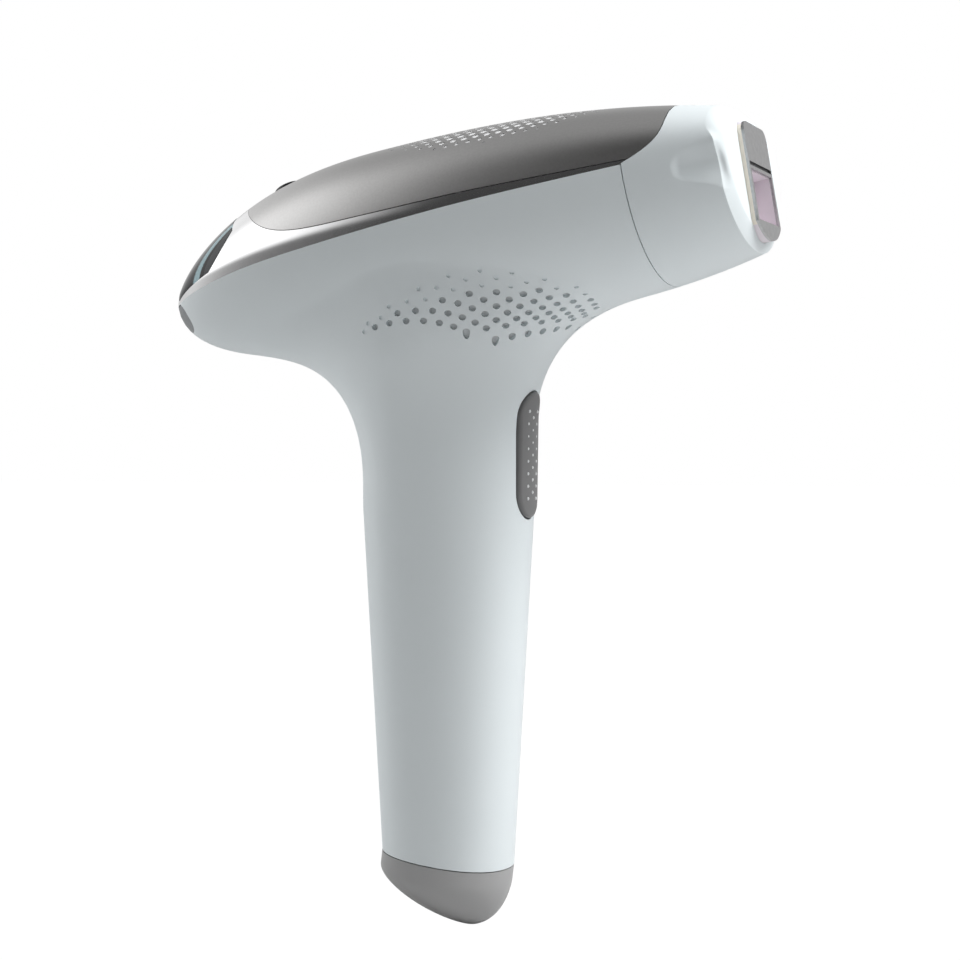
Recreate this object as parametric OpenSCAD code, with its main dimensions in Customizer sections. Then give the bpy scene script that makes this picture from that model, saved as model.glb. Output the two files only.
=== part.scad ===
// Hand-held IPL hair remover: pistol-shaped body, removable lamp cartridge, trigger, display and fan.
// Lengths are millimetres. +X is the nose, +Y the device's left, +Z up along the handle.

/* [Head] */
// Head tilt, nose up
tilt = 9.65; // [4:0.05:16]
// Height of the seam plane on the handle axis
head_z = 165; // [140:0.5:190]
// Tail tip, along the head axis from the handle axis
tail_s = -74; // [-90:0.5:-60]
// Front face, along the head axis from the handle axis
face_s = 74.7; // [66:0.1:90]
// Parting plane between body and lamp cartridge
parting_s = 52; // [44:0.5:60]
// Widest width of the head
head_w = 53; // [44:0.5:64]
// Width of the front face
face_w = 50; // [40:0.5:56]
// Crown above the seam
crown_h = 20.6; // [14:0.1:26]
// Crown above the seam at the front face
face_crown_h = 10.8; // [8:0.1:14]
// Keel below the seam
keel_h = 26.1; // [20:0.1:32]
// Keel below the seam at the front face
face_keel_h = 20.9; // [16:0.1:26]
// How far the tail bends down
tail_drop = 5.1; // [0:0.1:10]
// Shell wall
wall = 2.2; // [1.6:0.1:3]
// Thickness of the top cover and trim
deck_t = 1.8; // [1.4:0.1:2.6]

/* [Handle] */
// Half depth of the handle at the bottom
handle_low_rx = 15.4; // [12:0.1:18]
// Half depth of the handle at the trigger
handle_top_rx = 20.4; // [17:0.1:23]
// Half width of the handle at the bottom
handle_low_ry = 14.5; // [12:0.1:17]
// Half width of the handle at the trigger
handle_top_ry = 17.5; // [15:0.1:20]
// Blend between handle and head
blend = 31; // [16:1:40]
// Height of the joint between shells and end cap
cap_z = 16; // [10:0.5:24]
// Slope of that joint
cap_tilt = -7; // [-14:0.5:0]
// Depth of the end cap
cap_h = 15.1; // [10:0.1:20]

/* [Controls] */
// Trigger length
trigger_len = 29.4; // [20:0.1:36]
// Trigger width
trigger_w = 11.4; // [8:0.1:14]
// Trigger height on the handle
trigger_z = 111; // [100:0.5:116]
// Trigger travel
trigger_travel = 1.2; // [0.6:0.1:1.6]
// Power button length along the head
button_len = 7; // [5:0.1:9]
// Power button width across the head
button_w = 11; // [8:0.1:13]
// Power button place along the head
button_s = -39; // [-42:0.5:-34]
// Power button travel
button_travel = 0.6; // [0.4:0.1:0.9]
// Gap around moving pieces
move_gap = 0.4; // [0.3:0.05:0.6]

/* [Treatment window] */
// Half width of the nose plate
nose_ry = 10; // [8:0.1:14]
// Top of the nose plate above the seam
nose_top = 7; // [4:0.1:7.4]
// Radius of the nose plate's top corners
nose_corner = 3; // [0.5:0.1:4]
// Bottom of the nose plate below the seam
nose_low = 19.4; // [17:0.1:20]
// How far the nose stands out
nose_out = 1.5; // [0.8:0.1:3]
// Window height
window_h = 11; // [8:0.1:14]
// Half width of the window
window_ry = 8.6; // [6:0.1:12]
// Middle of the window
window_n = -9.6; // [-12:0.1:-8]
// Depth of the window tunnel
window_depth = 6; // [4:0.1:8]

/* [Power inlet] */
// Bore of the power inlet
inlet_r = 2.8; // [2.4:0.05:3.4]
// Centre pin of the power inlet
pin_r = 1; // [0.6:0.05:1.2]
// Pin length
pin_len = 8; // [6:0.5:10]

/* [Cooling] */
// Fan frame size
fan_size = 28; // [24:0.5:30]
// Fan frame depth
fan_t = 10; // [8:0.5:12]
// Number of fan blades
fan_blades = 7; // [5:1:9]
// Radius of the vent holes
vent_r = 0.85; // [0.6:0.05:1.2]

/* [Hidden] */
$fn = 48;

// Fit between flat pieces that touch
fit = 0.1;
// Room between curved pieces that lie on each other
seat_gap = 0.3;
// Shape of the head along its axis
wide_s = 27;
crown_s = -8.5;
keel_s = 18.4;
bend_s = -9.7;
side_power = 2.15;
top_power = 2.2;
handle_power = 2.2;
handle_top_z = 99;
// Where the blend starts and ends to fade across, and how deep below the seam it is full again
fade_y = [10, 22];
fade_depth = 32;
// Shift that puts the origin under the middle of the whole part
nose_x = (face_s + nose_out) * cos(tilt) + face_keel_h * sin(tilt);
tail_x = tail_s * cos(tilt) + 1;
handle_x = -(nose_x + tail_x) / 2;

// Head profile along its axis s

function clamp01(v) = max(0, min(1, v));
function smooth01(v) = let (c = clamp01(v)) c * c * (3 - 2 * c);
function power(v, p) = sign(v) * pow(abs(v), p);
function rear_close(s, mid, p, e) = pow(max(0, 1 - pow(clamp01((mid - s) / (mid - tail_s)), p)), 1 / e);
function front_drop(s, mid, p) = pow(max(0, (s - mid) / (face_s - mid)), p);
function half_width(s) = s < wide_s
    ? head_w / 2 * rear_close(s, wide_s, 2.4, 2)
    : head_w / 2 - (head_w - face_w) / 2 * front_drop(s, wide_s, 2);
function crown(s) = s < crown_s
    ? crown_h * rear_close(s, crown_s, 2.65, 1.43)
    : crown_h - (crown_h - face_crown_h) * front_drop(s, crown_s, 2.45);
function keel(s) = s < keel_s
    ? keel_h * rear_close(s, keel_s, 2.9, 1.85)
    : keel_h - (keel_h - face_keel_h) * front_drop(s, keel_s, 2.8);
function spine(s) = -tail_drop * pow(max(0, bend_s - s) / 60, 2);
function tail_shift(s, depth) = 1.2 * depth * max(0, 1 - (s - tail_s) / 20);
function head_xyz(s, y, n) = [
    s * cos(tilt) - (n + spine(s)) * sin(tilt),
    y,
    head_z + s * sin(tilt) + (n + spine(s)) * cos(tilt)];

// Point on the head: angle 0 is the right seam, 90 the ridge, 180 the left seam, 270 the keel
function head_point(s, phi, depth = 0) = let (
    up = sin(phi) >= 0,
    e = 2 / (up ? top_power : side_power),
    w = max(0.2, half_width(s) - depth),
    h = max(0.2, (up ? crown(s) : keel(s)) - depth))
    head_xyz(s + tail_shift(s, depth), -w * power(cos(phi), e), h * power(sin(phi), e));

// Distance to the blended body, negative inside

function section_distance(y, n, w, h, m) = norm([y, n]) < 0.001
    ? 0.002 - min(w, h)
    : norm([y, n]) * (1 - 1 / max(1e-6, pow(pow(abs(y) / w, m) + pow(abs(n) / h, m), 1 / m)));
function head_distance(p, inset) = let (
    s = p[0] * cos(tilt) + (p[2] - head_z) * sin(tilt),
    n = -p[0] * sin(tilt) + (p[2] - head_z) * cos(tilt) - spine(s),
    c = s - tail_shift(s, inset),
    h = max(0.001, n > 0 ? crown(c) : keel(c)))
    section_distance(p[1], n, max(0.001, half_width(c)), h, n > 0 ? top_power : side_power);
function handle_r(z, low, top) = low + (top - low) * max(-0.3, min(1, (z - 14) / (handle_top_z - 14)));
function handle_distance(p) = section_distance(p[0], p[1], handle_r(p[2], handle_low_rx, handle_top_rx),
    handle_r(p[2], handle_low_ry, handle_top_ry), handle_power);
function side_fade(y) = smooth01((abs(y) - fade_y[0]) / (fade_y[1] - fade_y[0]));
function below_seam(p) = let (s = p[0] * cos(tilt) + (p[2] - head_z) * sin(tilt))
    spine(s) + p[0] * sin(tilt) - (p[2] - head_z) * cos(tilt);
// The blend dies away toward the seam at the sides, so the shells meet the trim flush
function blend_at(p) = max(0.5, (blend + 2 - 6 * smooth01((p[0] + 10) / 20))
    * (1 - side_fade(p[1]) * (1 - smooth01(below_seam(p) / fade_depth))));
function body_distance(p, inset) = let (
    a = head_distance(p, inset),
    b = handle_distance(p),
    k = blend_at(p),
    h = clamp01(0.5 + 0.5 * (b - a) / k))
    b + (a - b) * h - k * h * (1 - h);

// Slices of the body, tilting from the end cap joint to the seam

function slice_share(zc) = clamp01((zc - cap_z) / (head_z - 36 - cap_z));
function slice_tilt(zc) = cap_tilt + (tilt - cap_tilt) * slice_share(zc);
function slice_xyz(zc, a, y) = let (t = slice_tilt(zc), b = slice_share(zc) * spine(a))
    [a * cos(t) - b * sin(t), y, zc + a * sin(t) + b * cos(t)];
function reach(zc, th, inset, lo = 0, hi = 110, i = 18) = let (m = (lo + hi) / 2)
    i == 0 ? m
    : body_distance(slice_xyz(zc, m * cos(th), m * sin(th)), inset) < -inset
    ? reach(zc, th, inset, m, hi, i - 1)
    : reach(zc, th, inset, lo, m, i - 1);
function mouth_a(zc) = (parting_s - (zc - head_z) * sin(tilt)) / cos(slice_tilt(zc) - tilt);
function mouth_y(zc, inset, lo = 0, hi = 40, i = 16) = let (m = (lo + hi) / 2)
    i == 0 ? m
    : body_distance(slice_xyz(zc, mouth_a(zc), m), inset) < -inset
    ? mouth_y(zc, inset, m, hi, i - 1)
    : mouth_y(zc, inset, lo, m, i - 1);
function mouth_angle(zc, inset) = body_distance(slice_xyz(zc, mouth_a(zc), 0), inset) >= -inset
    ? 0
    : atan2(mouth_y(zc, inset), mouth_a(zc));
function slice_squash(zc) = 0.9 - 0.53 * smooth01((zc - 105) / (head_z - 105));
function skin_row(zc, inset, side, cols, u0 = 0, u1 = 1) = let (
    q = slice_squash(zc),
    end = mouth_angle(zc, inset),
    t0 = atan2(sin(end) / q, cos(end)))
    [for (j = [0:cols]) let (
        t = t0 + (180 - t0) * (u0 + (u1 - u0) * j / cols),
        th = atan2(q * sin(t), cos(t)),
        r = reach(zc, th, inset),
        p = slice_xyz(zc, r * cos(th), r * sin(th)))
        [p[0], side * p[1], p[2]]];

// Closed solid between two grids of points; ring joins the first and last columns, cap closes the last row

function quad(a, b, c, d) = [[a, b, c], [a, c, d]];
function fan(n, at) = [for (j = [1:n - 2]) [at, at + j + 1, at + j]];
function turned(faces) = [for (f = faces) [f[2], f[1], f[0]]];
module skin(outer, inner, ring = false, cap = false, flip = false) {
    rows = len(outer) - 1;
    n = len(outer[0]);
    cols = ring ? n : n - 1;
    m = (rows + 1) * n;
    outside = [for (i = [0:rows - 1], j = [0:cols - 1]) let (k = (j + 1) % n)
        each quad(i * n + j, (i + 1) * n + j, (i + 1) * n + k, i * n + k)];
    inside = [for (f = outside) [f[2] + m, f[1] + m, f[0] + m]];
    foot = [for (j = [0:cols - 1]) let (k = (j + 1) % n) each quad(j, k, k + m, j + m)];
    top = cap
        ? concat(fan(n, rows * n), turned(fan(n, rows * n + m)))
        : [for (j = [0:cols - 1]) let (k = (j + 1) % n, a = rows * n)
            each quad(a + k, a + j, a + j + m, a + k + m)];
    sides = ring ? [] : [for (i = [0:rows - 1]) let (a = i * n, b = a + n, e = n - 1) each concat(
        quad(b, a, a + m, b + m), quad(a + e, b + e, b + e + m, a + e + m))];
    faces = concat(outside, inside, foot, top, sides);
    points = concat([for (r = outer) each r], [for (r = inner) each r]);
    polyhedron(points, flip ? turned(faces) : faces, convexity = 8);
}

// Placing helpers

module in_part() {
    translate([handle_x, 0, 0]) children();
}
module at_head(s, y = 0, n = 0) {
    translate([0, 0, head_z]) rotate([0, -tilt, 0]) translate([s, y, n]) children();
}
module along_head(s0, s1, y = 0, n = 0) {
    at_head(s0, y, n) rotate([90, 0, 90]) linear_extrude(s1 - s0) children();
}
module across(x, z, y0, y1, r) {
    translate([x, y0, z]) rotate([-90, 0, 0]) cylinder(r = r, h = y1 - y0);
}
module rounded(w, h, r) {
    offset(r) square([w - 2 * r, h - 2 * r], center = true);
}
module capsule(len, w) {
    square([len - w, w], center = true);
    for (e = [-1, 1]) translate([e * (len - w) / 2, 0]) circle(w / 2);
}

// Body shells

shell_cols = 24;
neck_z = head_z - 53;
shell_heights = concat([for (i = [0:8]) cap_z + (neck_z - cap_z) * i / 9],
    [for (i = [0:17]) neck_z + (head_z - neck_z) * i / 17]);
// Screw places on the middle plane, as x and z
screws = [[-5, 34], [0, 91], [-3.3, 154.3], [-34.5, 153]];
boss_r = 3.7;
screw_r = 1.4;
screw_head_r = 2.3;
screw_seat = 9;
shell_color = [0.93, 0.94, 0.95];

function flat_reach(z, th, inset, lo = 0, hi = 60, i = 18) = let (m = (lo + hi) / 2)
    i == 0 ? m
    : body_distance([m * cos(th), m * sin(th), z], inset) < -inset
    ? flat_reach(z, th, inset, m, hi, i - 1)
    : flat_reach(z, th, inset, lo, m, i - 1);
function side_reach(x, z, inset, lo = 0, hi = 40, i = 16) = let (m = (lo + hi) / 2)
    i == 0 ? m
    : body_distance([x, m, z], inset) < -inset
    ? side_reach(x, z, inset, m, hi, i - 1)
    : side_reach(x, z, inset, lo, m, i - 1);

module half_skin(side) {
    skin([for (z = shell_heights) skin_row(z, 0, side, shell_cols)],
        [for (z = shell_heights) skin_row(z, wall, side, shell_cols)], flip = side < 0);
}
// Vent holes round the front of the neck: rings k from the lowest, columns c from the middle one,
// th the turn from the nose
vent_x = 8;
vent_mid = 52.6;
vent_rings = 8;
function vent_turn(k, c) = let (t = vent_mid + (10.3 + 0.37 * k) * c) atan2(sin(t), 1.25 * cos(t));
function vent_z(k, th) = (k == 0 ? 141 : 142) - 0.061 * th
    + k * (1.1 + 0.54 * cos(2.09 * (th - 78.6)));
function vent_columns(k) = [for (c = [(k % 2) / 2 - 4:k == 0 ? 1 : k / 2 + 2]) c];
// The top ring keeps only its holes near the nose and at the far end
function vent_kept(k, th) = th > 4 && (k < vent_rings - 1 || (abs(th - 75) > 33 && th > 8));
module vents(side) {
    for (k = [0:vent_rings - 1], c = vent_columns(k)) {
        th = vent_turn(k, c);
        if (vent_kept(k, th)) translate([vent_x, 0, vent_z(k, th)]) rotate([0, 0, side * th])
            translate([13, 0, 0]) rotate([0, 90, 0]) cylinder(r = vent_r, h = 40, $fn = 14);
    }
}
module trigger_prism(grow) {
    translate([4, 0, trigger_z]) rotate([0, 90, 0]) linear_extrude(30)
        capsule(trigger_len + 2 * grow, trigger_w + 2 * grow);
}
lens_w = 18.4;
lens_h = 7.4;
lens_n = -3.2 + spine(tail_s + 2);
module lens_prism(grow) {
    along_head(tail_s - 3, tail_s + 10, 0, lens_n) rounded(lens_w + 2 * grow, lens_h + 2 * grow, 3.4);
}
module shell_half(side) {
    difference() {
        union() {
            half_skin(side);
            for (p = screws) translate([p[0], 0, p[1]]) rotate([-90 * side, 0, 0]) translate([0, 0, 1])
                cylinder(r = boss_r, h = side_reach(p[0], p[1], wall * 0.5) - 1);
        }
        vents(side);
        trigger_prism(move_gap);
        lens_prism(fit);
        for (p = screws) across(p[0], p[1], side > 0 ? 0 : -12, side > 0 ? 40 : 0, screw_r + 0.05);
        if (side > 0) for (p = screws) across(p[0], p[1], screw_seat, 40, screw_head_r + 0.2);
    }
}
module right_shell() {
    color(shell_color) shell_half(-1);
}
module left_shell() {
    color(shell_color) shell_half(1);
}
module shell_screws() {
    color([0.6, 0.6, 0.62]) for (p = screws) difference() {
        union() {
            across(p[0], p[1], -10, screw_seat + 0.1, screw_r);
            across(p[0], p[1], screw_seat, screw_seat + 2, screw_head_r);
        }
        across(p[0], p[1], screw_seat + 1, screw_seat + 3, 1.2);
    }
}
screen_t = 0.6;
screen_gap = 0.8;
module vent_screens() {
    heights = [for (i = [0:6]) head_z - 31 + 16 * i / 6];
    front = wall + screen_gap;
    back = front + screen_t;
    color([0.55, 0.57, 0.58]) for (side = [-1, 1])
        skin([for (z = heights) skin_row(z, front, side, 14, 0.03, 0.56)],
            [for (z = heights) skin_row(z, back, side, 14, 0.03, 0.56)], flip = side < 0);
}
function rear_row(zc, inset) = concat(skin_row(zc, inset, 1, 8, 0.78, 1),
    [for (j = [1:8]) skin_row(zc, inset, -1, 8, 0.78, 1)[8 - j]]);
module tail_lens() {
    heights = [for (i = [0:6]) head_z - 13 + 12.7 * i / 6];
    color([0.5, 0.53, 0.55]) {
        intersection() {
            lens_prism(0);
            skin([for (z = heights) rear_row(z, 0)], [for (z = heights) rear_row(z, wall)]);
        }
        for (e = [-1, 1]) at_head(tail_s + 2, e * 2.8, lens_n) rotate([0, 90, 0])
            cylinder(r = 1, h = lens_board_s - tail_s - 2);
    }
}
lens_board_s = tail_s + 12;
lens_board = [1.2, lens_w - 8, lens_h - 2.6];
module tail_light_board() {
    color([0.15, 0.4, 0.25]) at_head(lens_board_s, 0, lens_n) {
        translate([0, -lens_board[1] / 2, -lens_board[2] / 2]) cube(lens_board);
        translate([-2.5, 0, 0]) rotate([0, 90, 0]) cylinder(r = 1.2, h = 2.6);
    }
}

// Top cover, trim and display

cover_s = -48;
edge_gap = 0.5;
cover_rows = 22;
cover_from = cover_s + 0.2;
function cover_station(f) = cover_from + (parting_s - cover_from) * pow(f, 1.5);
function front_share(s) = pow(clamp01((s - cover_from) / (parting_s - cover_from)), 2);
function cover_edge(s) = let (low = 5.2 - 2.6 * clamp01((s - 12) / 40))
    low + (90 - low) * exp(-4.4 * pow(max(0, s - cover_s) / 30, 0.82));
function tongue(phi) = parting_s - 0.6 + 11 * (1 - exp(-min(phi, 180 - phi) / 9.5));
function deck_point(s, phi, depth) = head_point(s + (tongue(phi) - parting_s) * front_share(s), phi, depth);
function cover_row(s, depth, cols) = let (half = 90 - cover_edge(s))
    [for (j = [0:cols]) deck_point(s, 90 + half * (2 * j / cols - 1), depth)];
function trim_row(s, depth, side, cols) = let (top = s <= cover_s ? 90.2 : cover_edge(s) - edge_gap)
    [for (j = [0:cols]) let (p = deck_point(s, 0.25 + (top - 0.25) * j / cols, depth))
        [p[0], -side * p[1], p[2]]];
function ridge(s) = crown(s) + spine(s);
button_lean = atan((ridge(button_s + 3) - ridge(button_s - 3)) / 6);
// Top of the control board under the button
switch_floor = -8;
module at_button() {
    at_head(button_s, 0, ridge(button_s)) rotate([0, -button_lean, 0]) children();
}
module button_oval(grow) {
    rounded(button_len + 2 * grow, button_w + 2 * grow, button_len / 2 - 0.1);
}
// The cover's holes fill an oval field
field_s = 20;
field_half = [30, 20];
field_pitch = [6, 4.6];
module cover_holes() {
    for (i = [-6:6], j = [-4:4]) let (
        ds = field_pitch[0] * (i + (j % 2 == 0 ? 0 : 0.5)),
        y = field_pitch[1] * j)
        if (norm([ds / field_half[0], y / field_half[1]]) < 1)
            at_head(field_s + ds, y, 0) cylinder(r = 0.8, h = 30, $fn = 14);
}
module top_cover() {
    rows = [for (i = [0:cover_rows]) cover_station(i / cover_rows)];
    color([0.55, 0.55, 0.56]) difference() {
        union() {
            skin([for (s = rows) cover_row(s, 0, 20)],
                [for (s = rows) cover_row(s, deck_t, 20)], flip = true);
            at_button() for (e = [-1, 1], g = [-1, 1])
                translate([e * button_len, g * (button_w / 2 + 0.9), switch_floor]) cylinder(r = 1.5, h = 6);
        }
        cover_holes();
        at_button() translate([0, 0, -6]) linear_extrude(12) button_oval(move_gap);
    }
}
function display_front(phi) = let (p = min(phi, 180 - phi), x = (p - 8) / 82)
    cover_s + (p < 37 ? -9.5 + 33.8 * x - 28.8 * x * x : -1.3 - 3.2 * (p - 37) / 53);
display_rear = tail_s + 3.4;
function between(a, b, f) = a + (b - a) * f;
function display_row(phi, depth, grow, cols) = let (
    front = display_front(phi) + grow,
    rear = display_rear - grow)
    [for (j = [0:cols]) head_point(between(rear, front, j / cols), phi, depth)];
module display_slab(out, deep, grow) {
    low = 9 - grow * 3;
    rows = [for (i = [0:22]) low + (180 - 2 * low) * i / 22];
    skin([for (p = rows) display_row(p, out, grow, 8)], [for (p = rows) display_row(p, deep, grow, 8)]);
}
glass_t = 0.9;
module display_glass() {
    color([0.08, 0.09, 0.1]) display_slab(0, glass_t, 0);
}
// Curved rectangle on the display, from share f0 to f1 of its length and half angle wide
module display_patch(out, deep, f0, f1, half) {
    rows = [for (i = [0:10]) 90 + half * (i / 5 - 1)];
    front = display_front(90);
    function patch(phi, depth) = [for (j = [0:4])
        head_point(between(display_rear, front, f0 + (f1 - f0) * j / 4), phi, depth)];
    skin([for (p = rows) patch(p, out)], [for (p = rows) patch(p, deep)]);
}
module chrome_trim() {
    rear = [for (i = [0:11]) between(tail_s + 0.35, cover_s, pow(i / 11, 1.4))];
    stations = concat(rear, [for (i = [0:cover_rows]) cover_station(i / cover_rows)]);
    color([0.82, 0.82, 0.83]) difference() {
        for (side = [-1, 1]) skin([for (s = stations) trim_row(s, 0, side, 8)],
            [for (s = stations) trim_row(s, deck_t, side, 8)], flip = side < 0);
        display_slab(-1.5, glass_t + fit / 2, 0.15);
        display_patch(0, deck_t + 1, 0.3, 0.8, 26);
    }
}
panel_t = 1.2;
module display_panel() {
    color([0.2, 0.32, 0.36]) display_patch(deck_t + seat_gap, deck_t + seat_gap + panel_t, 0.24, 0.86, 32);
}
module power_button() {
    color([0.08, 0.08, 0.09]) at_button() {
        translate([0, 0, -3.2]) linear_extrude(4.1) button_oval(0);
        translate([0, 0, -3.4]) linear_extrude(0.5) button_oval(1);
    }
}
module power_switch() {
    color([0.3, 0.3, 0.32]) at_button() difference() {
        translate([-3, -3, switch_floor]) cube([6, 6, 3.4]);
        translate([0, 0, switch_floor + 1]) cylinder(r = 2.1, h = 4);
    }
}
module power_plunger() {
    color([0.75, 0.72, 0.68]) at_button() translate([0, 0, switch_floor + 2.1]) cylinder(r = 1.7, h = 2.5);
}
module control_board() {
    side = 2 * button_len + 4;
    color([0.12, 0.38, 0.24]) at_button() translate([-side / 2, -side / 2, switch_floor - board_t])
        cube([side, side, board_t]);
}

// End cap and power inlet

cap_step = 3.7;
cap_shift = 7;
function cap_xyz(u, y, d) = [
    u * cos(cap_tilt) + d * sin(cap_tilt),
    y,
    cap_z + u * sin(cap_tilt) - d * cos(cap_tilt)];
function cap_ring(d, inset, cols) = let (
    depth = cap_h - inset,
    t = clamp01((d - cap_step) / (depth - cap_step)),
    size = pow(max(0.0001, 1 - pow(t, 1.6)), 1 / 1.6),
    shift = cap_shift * pow(t, 1.6))
    [for (j = [0:cols - 1]) let (th = 360 * j / cols, r = max(0.5, (reach(cap_z, th, 0) - inset) * size))
        cap_xyz(r * cos(th) + shift, r * sin(th), d)];
function cap_depths(inset, from) = concat([from, cap_step],
    [for (i = [1:9]) cap_step + (cap_h - inset - cap_step) * sin(86 * i / 9)]);
inlet_u = -9;
inlet_d = 9.2;
inlet_lean = 36;
module at_inlet() {
    translate(cap_xyz(inlet_u, 0, inlet_d)) rotate([0, 180 - cap_tilt + inlet_lean, 0]) children();
}
inlet_len = 11;
inlet_body_r = 4.8;
// Depth and inset of the ring that enters the shells
spigot = [[-4, wall + seat_gap], [fit, wall + seat_gap], [0.6, wall - 0.6], [2, wall - 0.6]];
module end_cap() {
    color([0.53, 0.53, 0.54]) difference() {
        union() {
            skin([for (d = cap_depths(0, fit)) cap_ring(d, 0, 32)],
                [for (d = cap_depths(wall, fit)) cap_ring(d, wall, 32)],
                ring = true, cap = true, flip = true);
            skin([for (r = spigot) cap_ring(r[0], r[1], 32)],
                [for (r = spigot) cap_ring(r[0], wall + seat_gap + 1.4, 32)], ring = true, flip = true);
            at_inlet() translate([0, 0, -5]) cylinder(r = inlet_body_r + 1.4, h = 4);
        }
        at_inlet() translate([0, 0, -1.2]) cylinder(r = inlet_body_r + 1.6, h = 12);
        at_inlet() translate([0, 0, -14]) cylinder(r = inlet_body_r + fit / 2, h = 20);
    }
}
module inlet_body() {
    color([0.1, 0.1, 0.11]) at_inlet() difference() {
        translate([0, 0, -inlet_len - 1.2]) cylinder(r = inlet_body_r, h = inlet_len);
        translate([0, 0, -inlet_len + 0.3]) cylinder(r = inlet_r, h = inlet_len + 1);
    }
}
module inlet_pin() {
    color([0.8, 0.75, 0.55]) at_inlet() translate([0, 0, -inlet_len + 0.3]) cylinder(r = pin_r, h = pin_len);
}

// Trigger and its switch

board_t = 1.6;
switch_x = handle_top_rx - 16.4;
switch_box = [5, 8, 8];
plunger_x = handle_top_rx - 11.3;
trigger_stem_x = handle_top_rx - 7.8;
function front_rows(out, z0, z1) = [for (i = [0:12]) let (z = z0 + (z1 - z0) * i / 12)
    [for (j = [-6:6]) let (th = 4.4 * j, r = flat_reach(z, th, out)) [r * cos(th), r * sin(th), z]]];
module front_slab(out, deep) {
    z0 = trigger_z - trigger_len / 2 - 3;
    z1 = trigger_z + trigger_len / 2 + 3;
    skin(front_rows(out, z0, z1), front_rows(deep, z0, z1));
}
module trigger_button() {
    color([0.52, 0.53, 0.54]) {
        intersection() {
            trigger_prism(0);
            front_slab(-0.8, 3.6);
        }
        intersection() {
            trigger_prism(1.2);
            front_slab(wall + move_gap + 0.2, 4.4);
        }
        translate([trigger_stem_x, 0, trigger_z]) rotate([0, 90, 0]) cylinder(r = 2.4, h = 6);
    }
}
module trigger_switch() {
    color([0.14, 0.14, 0.15]) difference() {
        translate([switch_x + board_t, -switch_box[1] / 2, trigger_z - switch_box[2] / 2]) cube(switch_box);
        translate([plunger_x - 1.7, 0, trigger_z]) rotate([0, 90, 0]) cylinder(r = 1.9, h = switch_box[0]);
    }
}
module switch_plunger() {
    color([0.85, 0.3, 0.2]) translate([plunger_x, 0, trigger_z]) rotate([0, 90, 0])
        cylinder(r = 1.5, h = trigger_stem_x - plunger_x);
}
spring_low_x = handle_top_rx - 9.2;
spring_len = 3.8;
spring_turns = 4;
spring_r = 3.5;
spring_wire = 0.35;
module trigger_spring() {
    steps = 12 * spring_turns;
    rings = [for (i = [0:steps]) coil_ring(i / steps)];
    n = len(rings[0]);
    sides = [for (i = [0:steps - 1], j = [0:n - 1]) let (k = (j + 1) % n)
        each quad(i * n + j, i * n + k, (i + 1) * n + k, (i + 1) * n + j)];
    faces = concat(sides, fan(n, 0), turned(fan(n, steps * n)));
    color([0.7, 0.7, 0.72]) translate([0, 0, trigger_z])
        polyhedron([for (r = rings) each r], faces, convexity = 8);
}
function coil_ring(f) = let (a = 360 * spring_turns * f)
    [for (q = [0:60:300]) let (c = spring_r + spring_wire * cos(q))
        [spring_low_x + spring_len * f + spring_wire * sin(q), c * cos(a), c * sin(a)]];
module switch_board() {
    side = 2 * switch_box[1];
    color([0.12, 0.38, 0.24]) translate([switch_x, -side / 2, trigger_z - side / 2 - 2])
        cube([board_t, side, side + 4]);
}

// Electronics in the handle

board_half = handle_low_rx - 5.4;
board_low_z = cap_z + 10;
board_step_z = trigger_z - 13;
board_top_z = trigger_z + 7;
module main_board() {
    color([0.12, 0.38, 0.24]) difference() {
        translate([0, board_t / 2, 0]) rotate([90, 0, 0]) linear_extrude(board_t) polygon([
            [-board_half, board_low_z], [board_half, board_low_z], [board_half + 1, board_step_z],
            [switch_x, board_step_z], [switch_x, board_top_z], [-board_half - 1, board_top_z]]);
        for (p = screws) across(p[0], p[1], -2, 2, screw_r + 0.2);
    }
}
capacitor_r = 5.4;
capacitor_len = 38;
module capacitor() {
    color([0.16, 0.17, 0.22]) translate([2, -board_t / 2 - capacitor_r, board_low_z + 16]) {
        cylinder(r = capacitor_r, h = capacitor_len);
        translate([0, 0, capacitor_len]) cylinder(r = capacitor_r - 0.8, h = 0.8);
    }
}
transformer_box = [12, 8, 14];
module transformer() {
    translate([-transformer_box[0] / 2, board_t / 2, board_low_z + 36]) {
        color([0.75, 0.62, 0.2]) cube(transformer_box);
        color([0.2, 0.2, 0.2]) translate([2, transformer_box[1], 2])
            cube([transformer_box[0] - 4, 1.5, transformer_box[2] - 4]);
    }
}
choke_r = 5.5;
module choke() {
    color([0.35, 0.2, 0.12]) translate([2, board_t / 2, board_low_z + 24]) rotate([-90, 0, 0]) difference() {
        cylinder(r = choke_r, h = 6);
        translate([0, 0, -1]) cylinder(r = 2, h = 9);
    }
}
module power_chips() {
    color([0.1, 0.1, 0.11]) {
        translate([-8, board_t / 2, board_step_z + 2]) cube([8, 2, 8]);
        translate([-9, -board_t / 2 - 2.2, board_step_z + 2]) cube([7, 2.2, 10]);
        translate([-9.5, board_t / 2, board_low_z + 16]) cube([6, 4, 5]);
    }
}
lead_x = -8.8;
lead_r = 0.9;
module lead_bundle() {
    color([0.6, 0.12, 0.1]) for (e = [-1, 1]) {
        translate([lead_x, e * 2.6, board_top_z - 2]) cylinder(r = lead_r, h = head_z - board_top_z - 11);
        translate([lead_x, e * (board_t / 2 + lead_r), board_top_z - 7.8]) cylinder(r = lead_r, h = 6.4);
        translate([lead_x, e * 2.1, board_top_z - 1.7]) sphere(lead_r + 0.1);
    }
}

// Chassis, fan and heatsink in the head

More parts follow.
